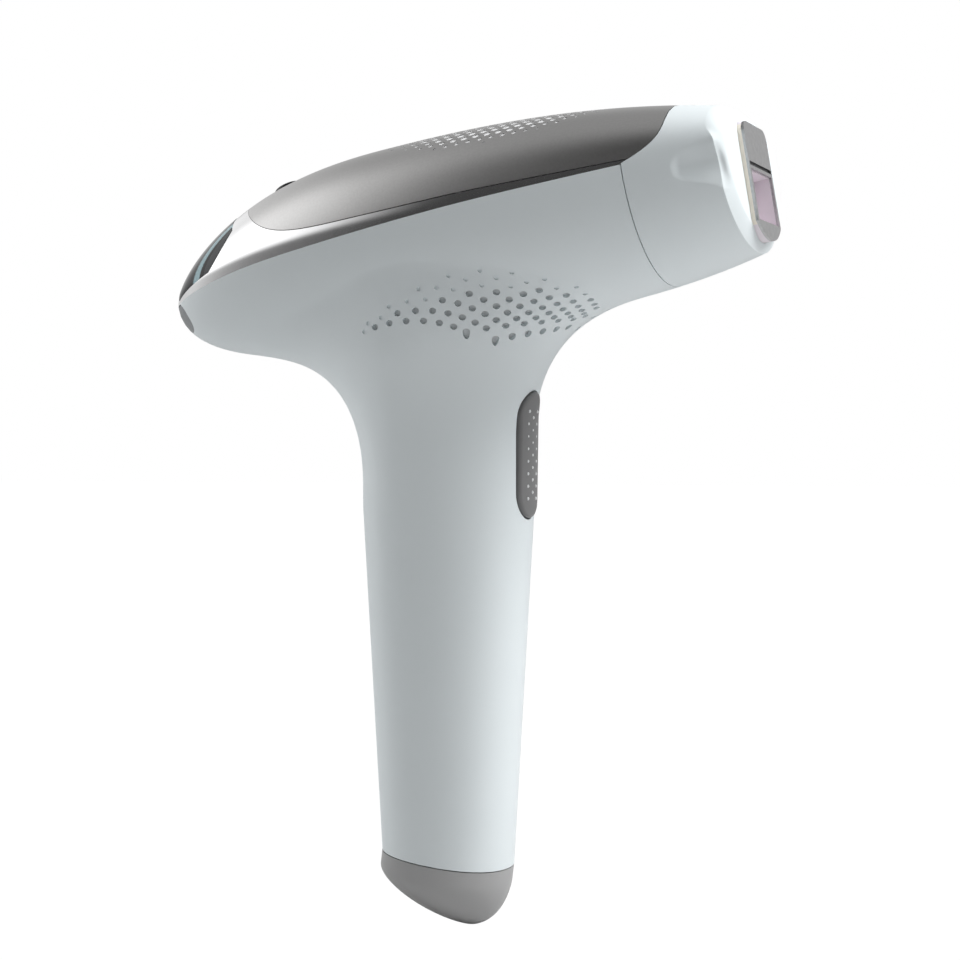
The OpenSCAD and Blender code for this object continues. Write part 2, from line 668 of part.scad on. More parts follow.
fan_s = -25;
tray_n = 9.1 - keel_h;
tray_s = fan_s - 3;
tray_w = fan_size - 6;
tray_t = 2;
rib_t = 1.8;
fan_n = tray_n + fan_size / 2;
module chassis() {
    color([0.3, 0.31, 0.33]) difference() {
        union() {
            at_head(tray_s, -tray_w / 2, tray_n - tray_t) cube([socket_s[1] - 3 - tray_s, tray_w, tray_t]);
            at_head(fan_s + 16, -rib_t / 2, tray_n - 0.1) cube([8, rib_t, 11]);
            at_head(tray_s - 12, -rib_t / 2, tray_n - tray_t) cube([13, rib_t, 15]);
        }
        for (p = screws) across(p[0], p[1], -2, 2, screw_r + 0.2);
        for (e = [-1, 1]) at_head(fan_s + 11, e * tray_w / 5 - 2.9, tray_n - 3) cube([23, 5.8, 4]);
    }
}
module fan_frame() {
    color([0.12, 0.12, 0.13]) at_head(fan_s, 0, fan_n) rotate([0, 90, 0]) {
        difference() {
            translate([-fan_size / 2, -fan_size / 2, 0]) cube([fan_size, fan_size, fan_t]);
            translate([0, 0, -1]) cylinder(r = fan_size / 2 - 0.8, h = fan_t + 2);
        }
        for (a = [0, 120, 240]) rotate([0, 0, a + 30]) translate([4, -1, 0])
            cube([fan_size / 2 - 4.4, 2, 1.6]);
        cylinder(r = 5.5, h = 1.6);
        cylinder(r = 1.2, h = fan_t - 1.5);
    }
}
module fan_rotor() {
    color([0.2, 0.2, 0.22]) at_head(fan_s, 0, fan_n) rotate([0, 90, 0]) difference() {
        union() {
            translate([0, 0, 2.1]) cylinder(r = 5.6, h = fan_t - 2.6);
            for (i = [0:fan_blades - 1]) rotate([0, 0, 360 * i / fan_blades])
                translate([5, 0, fan_t / 2 + 0.6]) rotate([38, 0, 0]) translate([0, -3.6, -0.45])
                    cube([fan_size / 2 - 6.8, 7.2, 0.9]);
        }
        translate([0, 0, 1]) cylinder(r = 1.6, h = fan_t - 1.9);
    }
}
fins = 7;
fin_t = 1.4;
sink_len = 15;
module heatsink() {
    color([0.78, 0.79, 0.8]) at_head(socket_s[0] - 21, -tray_w / 2, tray_n) {
        cube([sink_len, tray_w, 3]);
        for (j = [0:fins - 1]) translate([0, j * (tray_w - fin_t) / (fins - 1), 0])
            cube([sink_len, fin_t, fan_size - 8]);
    }
}

// Lamp socket and cartridge

socket_s = [parting_s - 21, parting_s - 1];
socket_box = [fan_size + 5.2, fan_size - 1];
socket_n = tray_n + socket_box[1] / 2;
neck_gap = move_gap;
neck_wall = 1.6;
pin_places = [-9, -3, 3, 9];
neck_box = [socket_box[0] - 4.4 - 2 * neck_gap, socket_box[1] - 4.4 - 2 * neck_gap];
neck_s = socket_s[0] + 5;
flange_s = parting_s + move_gap;
module lamp_socket() {
    color([0.22, 0.23, 0.25]) difference() {
        along_head(socket_s[0], socket_s[1], 0, socket_n) rounded(socket_box[0], socket_box[1], 3);
        along_head(socket_s[0] + 2.4, socket_s[1] + 1, 0, socket_n)
            rounded(socket_box[0] - 4.4, socket_box[1] - 4.4, 2);
        for (y = pin_places) at_head(socket_s[0] - 1, y, socket_n) rotate([0, 90, 0])
            cylinder(r = 1.5, h = 6);
    }
}
module socket_contacts() {
    color([0.8, 0.66, 0.3]) for (y = pin_places) at_head(socket_s[0] - 5, y, socket_n) rotate([0, 90, 0])
        difference() {
            cylinder(r = 2.1, h = 5);
            translate([0, 0, 1]) cylinder(r = 1.5, h = 6);
        }
}
module cartridge_pins() {
    color([0.85, 0.72, 0.35]) for (y = pin_places) at_head(neck_s - 8, y, socket_n) rotate([0, 90, 0])
        cylinder(r = 1.1, h = 8);
}
function flange_outline() = [for (a = [180:7.5:360]) let (
    w = half_width(flange_s + 2.4) - wall - fit,
    h = keel(flange_s + 2.4) - wall - fit)
    [-w * power(cos(a), 2 / side_power), h * power(sin(a), 2 / side_power)]];
tube_s = face_s - 14.7;
module cartridge_body() {
    color([0.86, 0.86, 0.85]) difference() {
        union() {
            along_head(neck_s, flange_s + 1, 0, socket_n) rounded(neck_box[0], neck_box[1], 2);
            along_head(flange_s, flange_s + 2.4) {
                polygon(flange_outline());
                translate([0, 3]) square([34, 7], center = true);
            }
            for (e = [-1, 1]) at_head(flange_s + 2, e * 14.4 - 1.2, window_n - 4)
                cube([tube_s - flange_s + 1.5, 2.4, 8]);
        }
        along_head(neck_s + 2, flange_s + 4, 0, socket_n)
            rounded(neck_box[0] - 2 * neck_wall, neck_box[1] - 2 * neck_wall, 1.4);
        at_head(tube_s, -20, window_n) rotate([-90, 0, 0]) cylinder(r = 2.75, h = 40);
    }
}
module tube_electrodes() {
    color([0.8, 0.8, 0.82]) for (e = [-1, 1]) at_head(tube_s, e * 14.4 - 2.4, window_n) rotate([-90, 0, 0])
        cylinder(r = 2.7, h = 4.8);
}
module flash_tube() {
    color([0.9, 0.93, 0.97]) at_head(tube_s, -12, window_n) rotate([-90, 0, 0]) difference() {
        cylinder(r = 2.2, h = 24);
        translate([0, 0, 1]) cylinder(r = 1.5, h = 22);
    }
}
mirror_s = tube_s - 4;
mirror_end = tube_s + 6;
module reflector() {
    color([0.86, 0.87, 0.88]) at_head(mirror_end, 10, window_n) rotate([90, 0, 0]) linear_extrude(20)
        difference() {
            scale([mirror_end - mirror_s, 6.4]) circle(1, $fn = 64);
            scale([mirror_end - mirror_s - 0.8, 5.6]) circle(1, $fn = 64);
            translate([0, -20]) square([40, 40]);
        }
}
module nose_outline(grow = 0) {
    ry = nose_ry + grow;
    round_r = 15.5;
    hull() {
        translate([-ry, -nose_low + 8]) square([2 * ry, 1]);
        for (side = [-1, 1]) translate([side * (nose_ry - nose_corner), nose_top - nose_corner])
            circle(nose_corner + grow, $fn = 24);
    }
    intersection() {
        translate([-ry, -nose_low - grow]) square([2 * ry, 10]);
        translate([0, -nose_low + round_r]) circle(round_r + grow, $fn = 96);
    }
}
module square_at(y, n, half_w, half_h) {
    translate([y - half_w, n - half_h]) square([2 * half_w, 2 * half_h]);
}
module window_cut(grow = 0) {
    square_at(0, window_n, window_ry + grow, window_h / 2 + grow);
}
plate_t = 0.6;
front_wall = 2.2;
nose_s = face_s + nose_out - plate_t;
glass_s = face_s + nose_out - window_depth - 2;
module window_frame() {
    color([0.95, 0.91, 0.83]) difference() {
        union() {
            along_head(face_s - front_wall - 1.4, nose_s) nose_outline(-0.1);
            along_head(face_s - front_wall - 1.4, face_s - front_wall - fit) intersection() {
                nose_outline(1.2);
                square_at(0, -4, 20, 9.9);
            }
            along_head(mirror_end, face_s - front_wall - fit) window_cut(1.4);
        }
        along_head(mirror_end - 1, nose_s + 1) window_cut();
        along_head(nose_s - 0.5, nose_s + 1) sensor_slot(0.05);
    }
}
module sensor_slot(grow) {
    square_at(0, window_n + window_h / 2 + 1.4, window_ry + 0.6 + grow, 0.4 + grow);
}
module skin_sensor() {
    color([0.1, 0.1, 0.11]) along_head(nose_s - 0.5, nose_s + 0.1) sensor_slot(0);
}
module contact_plate() {
    color([0.75, 0.75, 0.76]) along_head(nose_s, nose_s + plate_t) difference() {
        nose_outline(-0.1);
        window_cut(0.2);
        sensor_slot(0.05);
    }
}
module filter_glass() {
    color([0.85, 0.6, 0.62, 0.8]) along_head(glass_s, glass_s + 2) window_cut();
}
bevel = 2.4;
function lamp_start(phi) = (sin(phi) > 0 ? max(parting_s, tongue(phi)) : parting_s) + move_gap;
function lamp_row(f, depth, cols, back) = [for (j = [0:cols - 1]) let (
    phi = 360 * (j + 0.5) / cols,
    s = lamp_start(phi) + (face_s - bevel - back - lamp_start(phi)) * f)
    head_point(s, phi, depth)];
function face_row(a, depth, cols, back) = [for (j = [0:cols - 1]) let (
    phi = 360 * (j + 0.5) / cols)
    head_point(face_s - bevel - back + bevel * sin(a), phi, depth + bevel * (1 - cos(a)))];
module lamp_head_shell() {
    function rings(depth, back) = concat(
        [for (f = [0, 0.2, 0.4, 0.6, 0.8, 1]) lamp_row(f, depth, 56, back)],
        [for (a = [30, 60, 90]) face_row(a, depth, 56, back)]);
    color([0.95, 0.95, 0.96]) difference() {
        skin(rings(0, 0), rings(wall, front_wall), ring = true, cap = true, flip = true);
        along_head(face_s - 6, face_s + 4) nose_outline(0);
        for (e = [-1, 1]) at_head(67, e * (half_width(68) + 5.4), -4) {
            sphere(7);
            rotate([0, 82, 0]) cylinder(r = 7, h = 20);
        }
    }
}

in_part() right_shell();
in_part() left_shell();
in_part() top_cover();
in_part() chrome_trim();
in_part() display_glass();
in_part() display_panel();
in_part() power_button();
in_part() power_plunger();
in_part() power_switch();
in_part() control_board();
in_part() tail_lens();
in_part() tail_light_board();
in_part() vent_screens();
in_part() end_cap();
in_part() inlet_body();
in_part() inlet_pin();
in_part() trigger_button();
in_part() switch_plunger();
in_part() trigger_spring();
in_part() trigger_switch();
in_part() switch_board();
in_part() main_board();
in_part() capacitor();
in_part() transformer();
in_part() choke();
in_part() power_chips();
in_part() shell_screws();
in_part() chassis();
in_part() fan_frame();
in_part() fan_rotor();
in_part() heatsink();
in_part() lamp_socket();
in_part() socket_contacts();
in_part() lamp_head_shell();
in_part() cartridge_body();
in_part() window_frame();
in_part() contact_plate();
in_part() filter_glass();
in_part() reflector();
in_part() flash_tube();
in_part() tube_electrodes();
in_part() cartridge_pins();
in_part() skin_sensor();
in_part() lead_bundle();
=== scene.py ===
# Hand-held IPL hair remover: looks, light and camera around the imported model
import math

import bpy
import numpy as np
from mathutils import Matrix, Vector


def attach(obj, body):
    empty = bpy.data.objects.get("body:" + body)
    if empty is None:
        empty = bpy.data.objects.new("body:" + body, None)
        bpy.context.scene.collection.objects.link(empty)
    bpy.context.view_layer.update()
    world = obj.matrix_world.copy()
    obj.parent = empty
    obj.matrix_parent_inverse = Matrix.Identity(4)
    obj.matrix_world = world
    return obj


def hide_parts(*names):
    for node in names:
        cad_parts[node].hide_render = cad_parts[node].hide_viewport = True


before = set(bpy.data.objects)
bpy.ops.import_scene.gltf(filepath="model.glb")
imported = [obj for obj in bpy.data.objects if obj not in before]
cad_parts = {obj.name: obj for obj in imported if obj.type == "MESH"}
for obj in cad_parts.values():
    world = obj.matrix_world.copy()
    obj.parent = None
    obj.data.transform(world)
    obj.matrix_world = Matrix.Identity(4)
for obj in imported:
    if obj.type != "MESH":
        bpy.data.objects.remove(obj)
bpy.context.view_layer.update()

# Shape numbers of the part, in millimetres; s runs along the head to the nose, n up from its axis

MM = 0.001
TILT = math.radians(9.65)
HEAD_Z = 165.0
TAIL_S = -74.0
FACE_S = 74.7
PARTING_S = 52.0
HEAD_W = 53.0
FACE_W = 50.0
CROWN_H = 20.6
FACE_CROWN_H = 10.8
KEEL_H = 26.1
FACE_KEEL_H = 20.9
WIDE_S = 27.0
CROWN_S = -8.5
KEEL_S = 18.4
TAIL_DROP = 5.1
BEND_S = -9.7
BEND_RUN = 60.0
TAIL_PULL = 1.2
TAIL_RUN = 20.0
WALL = 2.2
DECK_T = 1.8
MOVE_GAP = 0.4
FIT = 0.1
LEAST_HALF = 0.2
HANDLE_RX = (15.4, 20.4)
HANDLE_RY = (14.5, 17.5)
HANDLE_Z = (14.0, 99.0)
HANDLE_PAST = -0.3
BLEND_REAR = 33.0
BLEND_FRONT = 27.0
BLEND_X = (-10.0, 10.0)
LEAST_BLEND = 0.5
FADE_Y = (10.0, 22.0)
FADE_DEPTH = 32.0
CAP_Z = 16.0
CAP_TILT = math.radians(-7)
NOSE_OUT = 1.5
COVER_S = -48.0
COVER_FROM = COVER_S + 0.2
HEAD_RIGHT = np.array([math.cos(TILT), 0, math.sin(TILT)])
HEAD_UP = np.array([-math.sin(TILT), 0, math.cos(TILT)])
ACROSS = np.array([0, 1.0, 0])
NOSE_X = (FACE_S + NOSE_OUT) * math.cos(TILT) + FACE_KEEL_H * math.sin(TILT)
TAIL_X = TAIL_S * math.cos(TILT) + 1
HANDLE_X = -(NOSE_X + TAIL_X) / 2

# Powers of the head's curves: run and closing toward the tail, then the drop toward the lit face
WIDTH_POWERS = (2.4, 2, 2)
CROWN_POWERS = (2.65, 1.43, 2.45)
KEEL_POWERS = (2.9, 1.85, 2.8)
# Powers of the rounded sections
SIDE_POWER = 2.15
TOP_POWER = 2.2
HANDLE_POWER = 2.2


# Head profile along its axis


def smooth01(v):
    c = np.clip(v, 0, 1)
    return c * c * (3 - 2 * c)


def signed_power(v, p):
    return np.sign(v) * np.abs(v) ** p


# One edge of the head: full at mid, closed at the tail, drawn in at the lit face
def profile(s, mid, full, at_face, powers):
    run, close, drop = powers
    u = np.clip((mid - s) / (mid - TAIL_S), 0, 1)
    rear = full * np.maximum(0, 1 - u**run) ** (1 / close)
    front = full - (full - at_face) * np.maximum(0, (s - mid) / (FACE_S - mid)) ** drop
    return np.where(s < mid, rear, front)


def half_width(s):
    return profile(s, WIDE_S, HEAD_W / 2, FACE_W / 2, WIDTH_POWERS)


def crown(s):
    return profile(s, CROWN_S, CROWN_H, FACE_CROWN_H, CROWN_POWERS)


def keel(s):
    return profile(s, KEEL_S, KEEL_H, FACE_KEEL_H, KEEL_POWERS)


def spine(s):
    return -TAIL_DROP * (np.maximum(0, BEND_S - s) / BEND_RUN) ** 2


def tail_shift(s, depth):
    return TAIL_PULL * depth * np.maximum(0, 1 - (s - TAIL_S) / TAIL_RUN)


def head_xyz(s, y, n):
    s, y, n = np.broadcast_arrays(np.asarray(s, float), y, n)
    m = n + spine(s)
    x = s * math.cos(TILT) - m * math.sin(TILT)
    z = HEAD_Z + s * math.sin(TILT) + m * math.cos(TILT)
    return np.stack([x, y, z], -1)


def head_coords(p):
    x, z = p[..., 0], p[..., 2] - HEAD_Z
    s = x * math.cos(TILT) + z * math.sin(TILT)
    return s, -x * math.sin(TILT) + z * math.cos(TILT) - spine(s)


# Angle 0 is the right seam, 90 the ridge, 180 the left seam, 270 the keel
def head_point(s, phi, depth=0.0):
    s, phi, depth = np.broadcast_arrays(*(np.asarray(v, float) for v in (s, phi, depth)))
    a = np.radians(phi)
    up = np.sin(a) >= 0
    e = np.where(up, 2 / TOP_POWER, 2 / SIDE_POWER)
    w = np.maximum(LEAST_HALF, half_width(s) - depth)
    h = np.maximum(LEAST_HALF, np.where(up, crown(s), keel(s)) - depth)
    y = -w * signed_power(np.cos(a), e)
    return head_xyz(s + tail_shift(s, depth), y, h * signed_power(np.sin(a), e))


# Distance to the blended body, negative inside

TINY = 0.001
ON_BODY = 0.05
ON_HEAD = 0.06


def section_distance(y, n, w, h, m):
    r = np.hypot(y, n)
    k = np.maximum(1e-6, ((np.abs(y) / w) ** m + (np.abs(n) / h) ** m) ** (1 / m))
    return np.where(r < TINY, 2 * TINY - np.minimum(w, h), r * (1 - 1 / k))


def head_distance(p, inset=0.0):
    s, n = head_coords(p)
    c = s - tail_shift(s, inset)
    w = np.maximum(TINY, half_width(c))
    h = np.maximum(TINY, np.where(n > 0, crown(c), keel(c)))
    return section_distance(p[..., 1], n, w, h, np.where(n > 0, TOP_POWER, SIDE_POWER))


def handle_r(z, pair):
    share = np.clip((z - HANDLE_Z[0]) / (HANDLE_Z[1] - HANDLE_Z[0]), HANDLE_PAST, 1)
    return pair[0] + (pair[1] - pair[0]) * share


# The blend dies away toward the seam at the sides, so the body meets the trim flush
def blend_at(p, fade):
    below_seam = -head_coords(p)[1]
    side = smooth01((np.abs(p[..., 1]) - FADE_Y[0]) / (FADE_Y[1] - FADE_Y[0]))
    forward = smooth01((p[..., 0] - BLEND_X[0]) / (BLEND_X[1] - BLEND_X[0]))
    full = BLEND_REAR + (BLEND_FRONT - BLEND_REAR) * forward
    return np.maximum(LEAST_BLEND, full * (1 - fade * side * (1 - smooth01(below_seam / FADE_DEPTH))))


def body_distance(p, inset=0.0, fade=1.0):
    a = head_distance(p, inset)
    rx, ry = handle_r(p[..., 2], HANDLE_RX), handle_r(p[..., 2], HANDLE_RY)
    b = section_distance(p[..., 0], p[..., 1], rx, ry, HANDLE_POWER)
    k = blend_at(p, fade)
    h = np.clip(0.5 + 0.5 * (b - a) / k, 0, 1)
    return b + (a - b) * h - k * h * (1 - h)


# Direction in which a distance grows fastest
def gradient(distance, p, step=0.02):
    g = np.empty_like(p)
    for i in range(3):
        d = np.zeros(3)
        d[i] = step
        g[..., i] = distance(p + d) - distance(p - d)
    return g / np.maximum(1e-9, np.linalg.norm(g, axis=-1, keepdims=True))


def body_normal(p):
    return gradient(body_distance, p)


def head_normal(p):
    return gradient(head_distance, p)


def on_body(p):
    return np.abs(body_distance(p)) < ON_BODY


def on_head(p):
    return np.abs(head_distance(p)) < ON_HEAD


def bisect(inside, far, shape, turns=30):
    lo = np.zeros(shape)
    hi = np.full(shape, float(far))
    for _ in range(turns):
        m = (lo + hi) / 2
        ok = inside(m)
        lo = np.where(ok, m, lo)
        hi = np.where(ok, hi, m)
    return (lo + hi) / 2


# Slices of the body, tilting from the end cap joint to the seam

LEVEL_Z = HEAD_Z - 36
SLICE_FAR = 110.0
MOUTH_FAR = 40.0
# Columns crowd to the front and rear: their turn there as a share of an even one, and its drop at the seam
COLUMN_SHARE = 0.9
COLUMN_SHARE_DROP = 0.53
COLUMN_Z = 105.0


def slice_share(zc):
    return np.clip((zc - CAP_Z) / (LEVEL_Z - CAP_Z), 0, 1)


def slice_tilt(zc):
    return CAP_TILT + (TILT - CAP_TILT) * slice_share(zc)


def slice_xyz(zc, a, y):
    zc, a, y = np.broadcast_arrays(np.asarray(zc, float), a, y)
    t = slice_tilt(zc)
    b = slice_share(zc) * spine(a)
    return np.stack([a * np.cos(t) - b * np.sin(t), y, zc + a * np.sin(t) + b * np.cos(t)], -1)


def reach(zc, th, inset=0.0):
    zc, th = np.broadcast_arrays(np.asarray(zc, float), np.asarray(th, float))

    def inside(m):
        return body_distance(slice_xyz(zc, m * np.cos(th), m * np.sin(th)), inset) < -inset

    return bisect(inside, SLICE_FAR, zc.shape)


# One half of the body's skin, from the parting round to the rear
def skin_grid(heights, inset, side, cols, u0=0.0, u1=1.0):
    zc = np.asarray(heights, float)
    mouth_a = (PARTING_S - (zc - HEAD_Z) * math.sin(TILT)) / np.cos(slice_tilt(zc) - TILT)
    mid = body_distance(slice_xyz(zc, mouth_a, np.zeros_like(zc)), inset)
    mouth_y = bisect(lambda m: body_distance(slice_xyz(zc, mouth_a, m), inset) < -inset, MOUTH_FAR, zc.shape)
    end = np.where(mid >= -inset, 0, np.arctan2(mouth_y, mouth_a))
    q = COLUMN_SHARE - COLUMN_SHARE_DROP * smooth01((zc - COLUMN_Z) / (HEAD_Z - COLUMN_Z))
    t0 = np.arctan2(np.sin(end) / q, np.cos(end))
    u = u0 + (u1 - u0) * np.linspace(0, 1, cols + 1)
    tt = t0[:, None] + (math.pi - t0[:, None]) * u[None, :]
    th = np.arctan2(q[:, None] * np.sin(tt), np.cos(tt))
    zz = np.repeat(zc[:, None], cols + 1, 1)
    r = reach(zz, th, inset)
    p = slice_xyz(zz, r * np.cos(th), r * np.sin(th))
    p[..., 1] *= side
    return p


# Outlines


def circle(r, steps):
    turns = [2 * math.pi * q / steps for q in range(steps)]
    return [(r * math.cos(a), r * math.sin(a)) for a in turns]


def capsule_outline(length, width, steps=24):
    r = width / 2
    half = length / 2 - r
    pts = [(r * math.cos(a), half + r * math.sin(a)) for a in np.linspace(0, math.pi, steps)]
    pts += [(r * math.cos(a), -half + r * math.sin(a)) for a in np.linspace(math.pi, 2 * math.pi, steps)]
    return pts


def rounded_outline(w, h, r, steps):
    pts = []
    for q, (cx, cy) in enumerate([(1, 1), (-1, 1), (-1, -1), (1, -1)]):
        for a in np.linspace(q * 90, q * 90 + 90, steps):
            a = math.radians(a)
            pts.append((cx * (w / 2 - r) + r * math.cos(a), cy * (h / 2 - r) + r * math.sin(a)))
    return pts


# Mesh helpers; a part is a pair of points and faces


def to_part(p):
    return (np.asarray(p, float) + np.array([HANDLE_X, 0, 0])) * MM


def solid_faces(rows, cols, ring=False, cap=False, flip=False):
    n = cols
    last = n if ring else n - 1
    m = rows * n
    faces = []
    for i in range(rows - 1):
        for j in range(last):
            k = (j + 1) % n
            a, b, c, d = i * n + j, i * n + k, (i + 1) * n + k, (i + 1) * n + j
            faces.append((a, b, c, d))
            faces.append((d + m, c + m, b + m, a + m))
    end = (rows - 1) * n
    for j in range(last):
        k = (j + 1) % n
        faces.append((k, j, j + m, k + m))
        if not cap:
            faces.append((end + j, end + k, end + k + m, end + j + m))
    if cap:
        faces.append(tuple(end + j for j in range(n)))
        faces.append(tuple(end + m + j for j in reversed(range(n))))
    if not ring:
        for i in range(rows - 1):
            a, b = i * n, (i + 1) * n
            faces.append((a, b, b + m, a + m))
            faces.append((b + n - 1, a + n - 1, a + n - 1 + m, b + n - 1 + m))
    if flip:
        faces = [tuple(reversed(f)) for f in faces]
    return faces


def skin_part(outer, inner, ring=False, cap=False, flip=False):
    rows, cols = outer.shape[:2]
    points = np.concatenate([outer.reshape(-1, 3), inner.reshape(-1, 3)])
    return points.tolist(), solid_faces(rows, cols, ring, cap, flip)


# A stack of rings with a lid at each end
def lidded_part(rings):
    rows, cols = rings.shape[:2]
    faces = []
    for i in range(rows - 1):
        for j in range(cols):
            k = (j + 1) % cols
            faces.append((i * cols + j, i * cols + k, (i + 1) * cols + k, (i + 1) * cols + j))
    faces.append(tuple(reversed(range(cols))))
    faces.append(tuple((rows - 1) * cols + j for j in range(cols)))
    return rings.reshape(-1, 3).tolist(), faces


def prism(outline, start, end, right, up):
    outline = np.asarray(outline, float)
    start, end, right, up = (np.asarray(v, float) for v in (start, end, right, up))
    flat = outline[:, :1] * right + outline[:, 1:] * up
    points = np.concatenate([flat + start, flat + end])
    n = len(outline)
    faces = [tuple(reversed(range(n))), tuple(range(n, 2 * n))]
    faces += [(j, (j + 1) % n, (j + 1) % n + n, j + n) for j in range(n)]
    return points.tolist(), faces


def merged(parts):
    points, faces = [], []
    for part_points, part_faces in parts:
        base = len(points)
        points.extend(part_points)
        faces.extend(tuple(i + base for i in face) for face in part_faces)
    return points, faces


def bare_object(name, part):
    points, faces = part
    mesh = bpy.data.meshes.new(name)
    mesh.from_pydata(to_part(points).tolist(), [], faces)
    mesh.update()
    obj = bpy.data.objects.new(name, mesh)
    bpy.context.scene.collection.objects.link(obj)
    return obj


def shade(obj, angle):
    obj.data.shade_smooth()
    obj.data.set_sharp_from_angle(angle=math.radians(angle))


def mesh_object(name, part, material, smooth=0):
    obj = bare_object(name, part)
    obj.data.materials.append(material)
    if smooth:
        shade(obj, smooth)
    return obj


def settle(obj, body, slot, *nodes):
    if nodes:
        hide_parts(*nodes)
    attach(obj, body)


def cut(obj, parts):
    cutter = bare_object("cutter", merged(parts))
    mod = obj.modifiers.new("cut", "BOOLEAN")
    mod.operation = "DIFFERENCE"
    mod.solver = "MANIFOLD"
    mod.object = cutter
    depsgraph = bpy.context.evaluated_depsgraph_get()
    mesh = bpy.data.meshes.new_from_object(obj.evaluated_get(depsgraph))
    obj.modifiers.clear()
    old = obj.data
    obj.data = mesh
    mesh.name = old.name
    bpy.data.meshes.remove(old)
    bpy.data.objects.remove(cutter)


# Least agreement of a face with the smooth surface for its corners to take the surface's normal
FACING = 0.6


# Custom normals: the surface's where a corner lies on it, the face's own elsewhere
def true_normals(obj, on_surface, normal_at):
    mesh = obj.data
    mesh.shade_smooth()
    points = np.empty(len(mesh.vertices) * 3)
    mesh.vertices.foreach_get("co", points)
    points = points.reshape(-1, 3) / MM - np.array([HANDLE_X, 0, 0])
    on = on_surface(points)
    normals = normal_at(points)
    loops = np.empty(len(mesh.loops), int)
    mesh.loops.foreach_get("vertex_index", loops)
    face_normals = np.empty(len(mesh.polygons) * 3)
    mesh.polygons.foreach_get("normal", face_normals)
    totals = np.empty(len(mesh.polygons), int)
    mesh.polygons.foreach_get("loop_total", totals)
    per_loop = np.repeat(face_normals.reshape(-1, 3), totals, axis=0)
    chosen = normals[loops]
    use = on[loops] & ((chosen * per_loop).sum(1) > FACING)
    mesh.normals_split_custom_set(np.where(use[:, None], chosen, per_loop).tolist())


# Materials

COLOUR_SPAN = (0.35, 0.65)
BLOTCH_SCALE = 18.0
GLASS_SCALE = 60.0
PLASTIC_GRAIN_DEPTH = 0.00004
METAL_GRAIN_DEPTH = 0.00003


def new_material(name):
    mat = bpy.data.materials.new(name)
    mat.use_nodes = True
    nodes = mat.node_tree.nodes
    return mat, nodes, mat.node_tree.links, nodes["Principled BSDF"]


def joined(tree, operation, first, second):
    node = tree.nodes.new("ShaderNodeMath")
    node.operation = operation
    for socket, value in zip(node.inputs, (first, second)):
        if isinstance(value, (int, float)):
            socket.default_value = value
        else:
            tree.links.new(value, socket)
    return node.outputs[0]


def add_noise(nodes, links, scale, detail=3.0):
    coords = nodes.new("ShaderNodeTexCoord")
    noise = nodes.new("ShaderNodeTexNoise")
    noise.inputs["Scale"].default_value = scale
    noise.inputs["Detail"].default_value = detail
    links.new(coords.outputs["Object"], noise.inputs["Vector"])
    return noise


def colour_ramp(nodes, links, bsdf, value, stops):
    ramp = nodes.new("ShaderNodeValToRGB")
    points = ramp.color_ramp.elements
    while len(points) < len(stops):
        points.new(1.0)
    for point, (at, colour) in zip(points, stops):
        point.position = at
        point.color = (*colour, 1)
    links.new(value, ramp.inputs["Fac"])
    links.new(ramp.outputs["Color"], bsdf.inputs["Base Color"])


def vary_colour(nodes, links, bsdf, noise, low, high):
    colour_ramp(nodes, links, bsdf, noise.outputs["Fac"], list(zip(COLOUR_SPAN, (low, high))))


def vary_roughness(nodes, links, bsdf, noise, low, high):
    spread = nodes.new("ShaderNodeMapRange")
    spread.inputs["To Min"].default_value = low
    spread.inputs["To Max"].default_value = high
    links.new(noise.outputs["Fac"], spread.inputs["Value"])
    links.new(spread.outputs["Result"], bsdf.inputs["Roughness"])


def add_bump(nodes, links, bsdf, height, strength, distance):
    bump = nodes.new("ShaderNodeBump")
    bump.inputs["Strength"].default_value = strength
    bump.inputs["Distance"].default_value = distance
    links.new(height, bump.inputs["Height"])
    links.new(bump.outputs["Normal"], bsdf.inputs["Normal"])


def plastic(name, low, high, rough=(0.38, 0.46), grain=2600.0, bump=0.06):
    mat, nodes, links, bsdf = new_material(name)
    vary_colour(nodes, links, bsdf, add_noise(nodes, links, BLOTCH_SCALE), low, high)
    fine = add_noise(nodes, links, grain, 2.0)
    vary_roughness(nodes, links, bsdf, fine, *rough)
    if bump:
        add_bump(nodes, links, bsdf, fine.outputs["Fac"], bump, PLASTIC_GRAIN_DEPTH)
    return mat


def metal(name, low, high, rough=(0.1, 0.16), grain=300.0, bump=0.0):
    mat, nodes, links, bsdf = new_material(name)
    noise = add_noise(nodes, links, grain, 4.0)
    vary_colour(nodes, links, bsdf, noise, low, high)
    vary_roughness(nodes, links, bsdf, noise, *rough)
    if bump:
        add_bump(nodes, links, bsdf, noise.outputs["Fac"], bump, METAL_GRAIN_DEPTH)
    bsdf.inputs["Metallic"].default_value = 1.0
    return mat


def glass(name, low, high, rough, through=0.0):
    mat, nodes, links, bsdf = new_material(name)
    noise = add_noise(nodes, links, GLASS_SCALE)
    vary_colour(nodes, links, bsdf, noise, low, high)
    vary_roughness(nodes, links, bsdf, noise, *rough)
    bsdf.inputs["Transmission Weight"].default_value = through
    return mat


# Colours by the distance from the middle plane, in shares of a reach in millimetres
def by_distance(mat, reach_mm, stops):
    tree = mat.node_tree
    parts = tree.nodes.new("ShaderNodeSeparateXYZ")
    tree.links.new(tree.nodes.new("ShaderNodeTexCoord").outputs["Object"], parts.inputs[0])
    side = joined(tree, "ABSOLUTE", parts.outputs["Y"], 0.0)
    share = joined(tree, "DIVIDE", side, reach_mm * MM)
    colour_ramp(tree.nodes, tree.links, tree.nodes["Principled BSDF"], share, stops)
    return mat


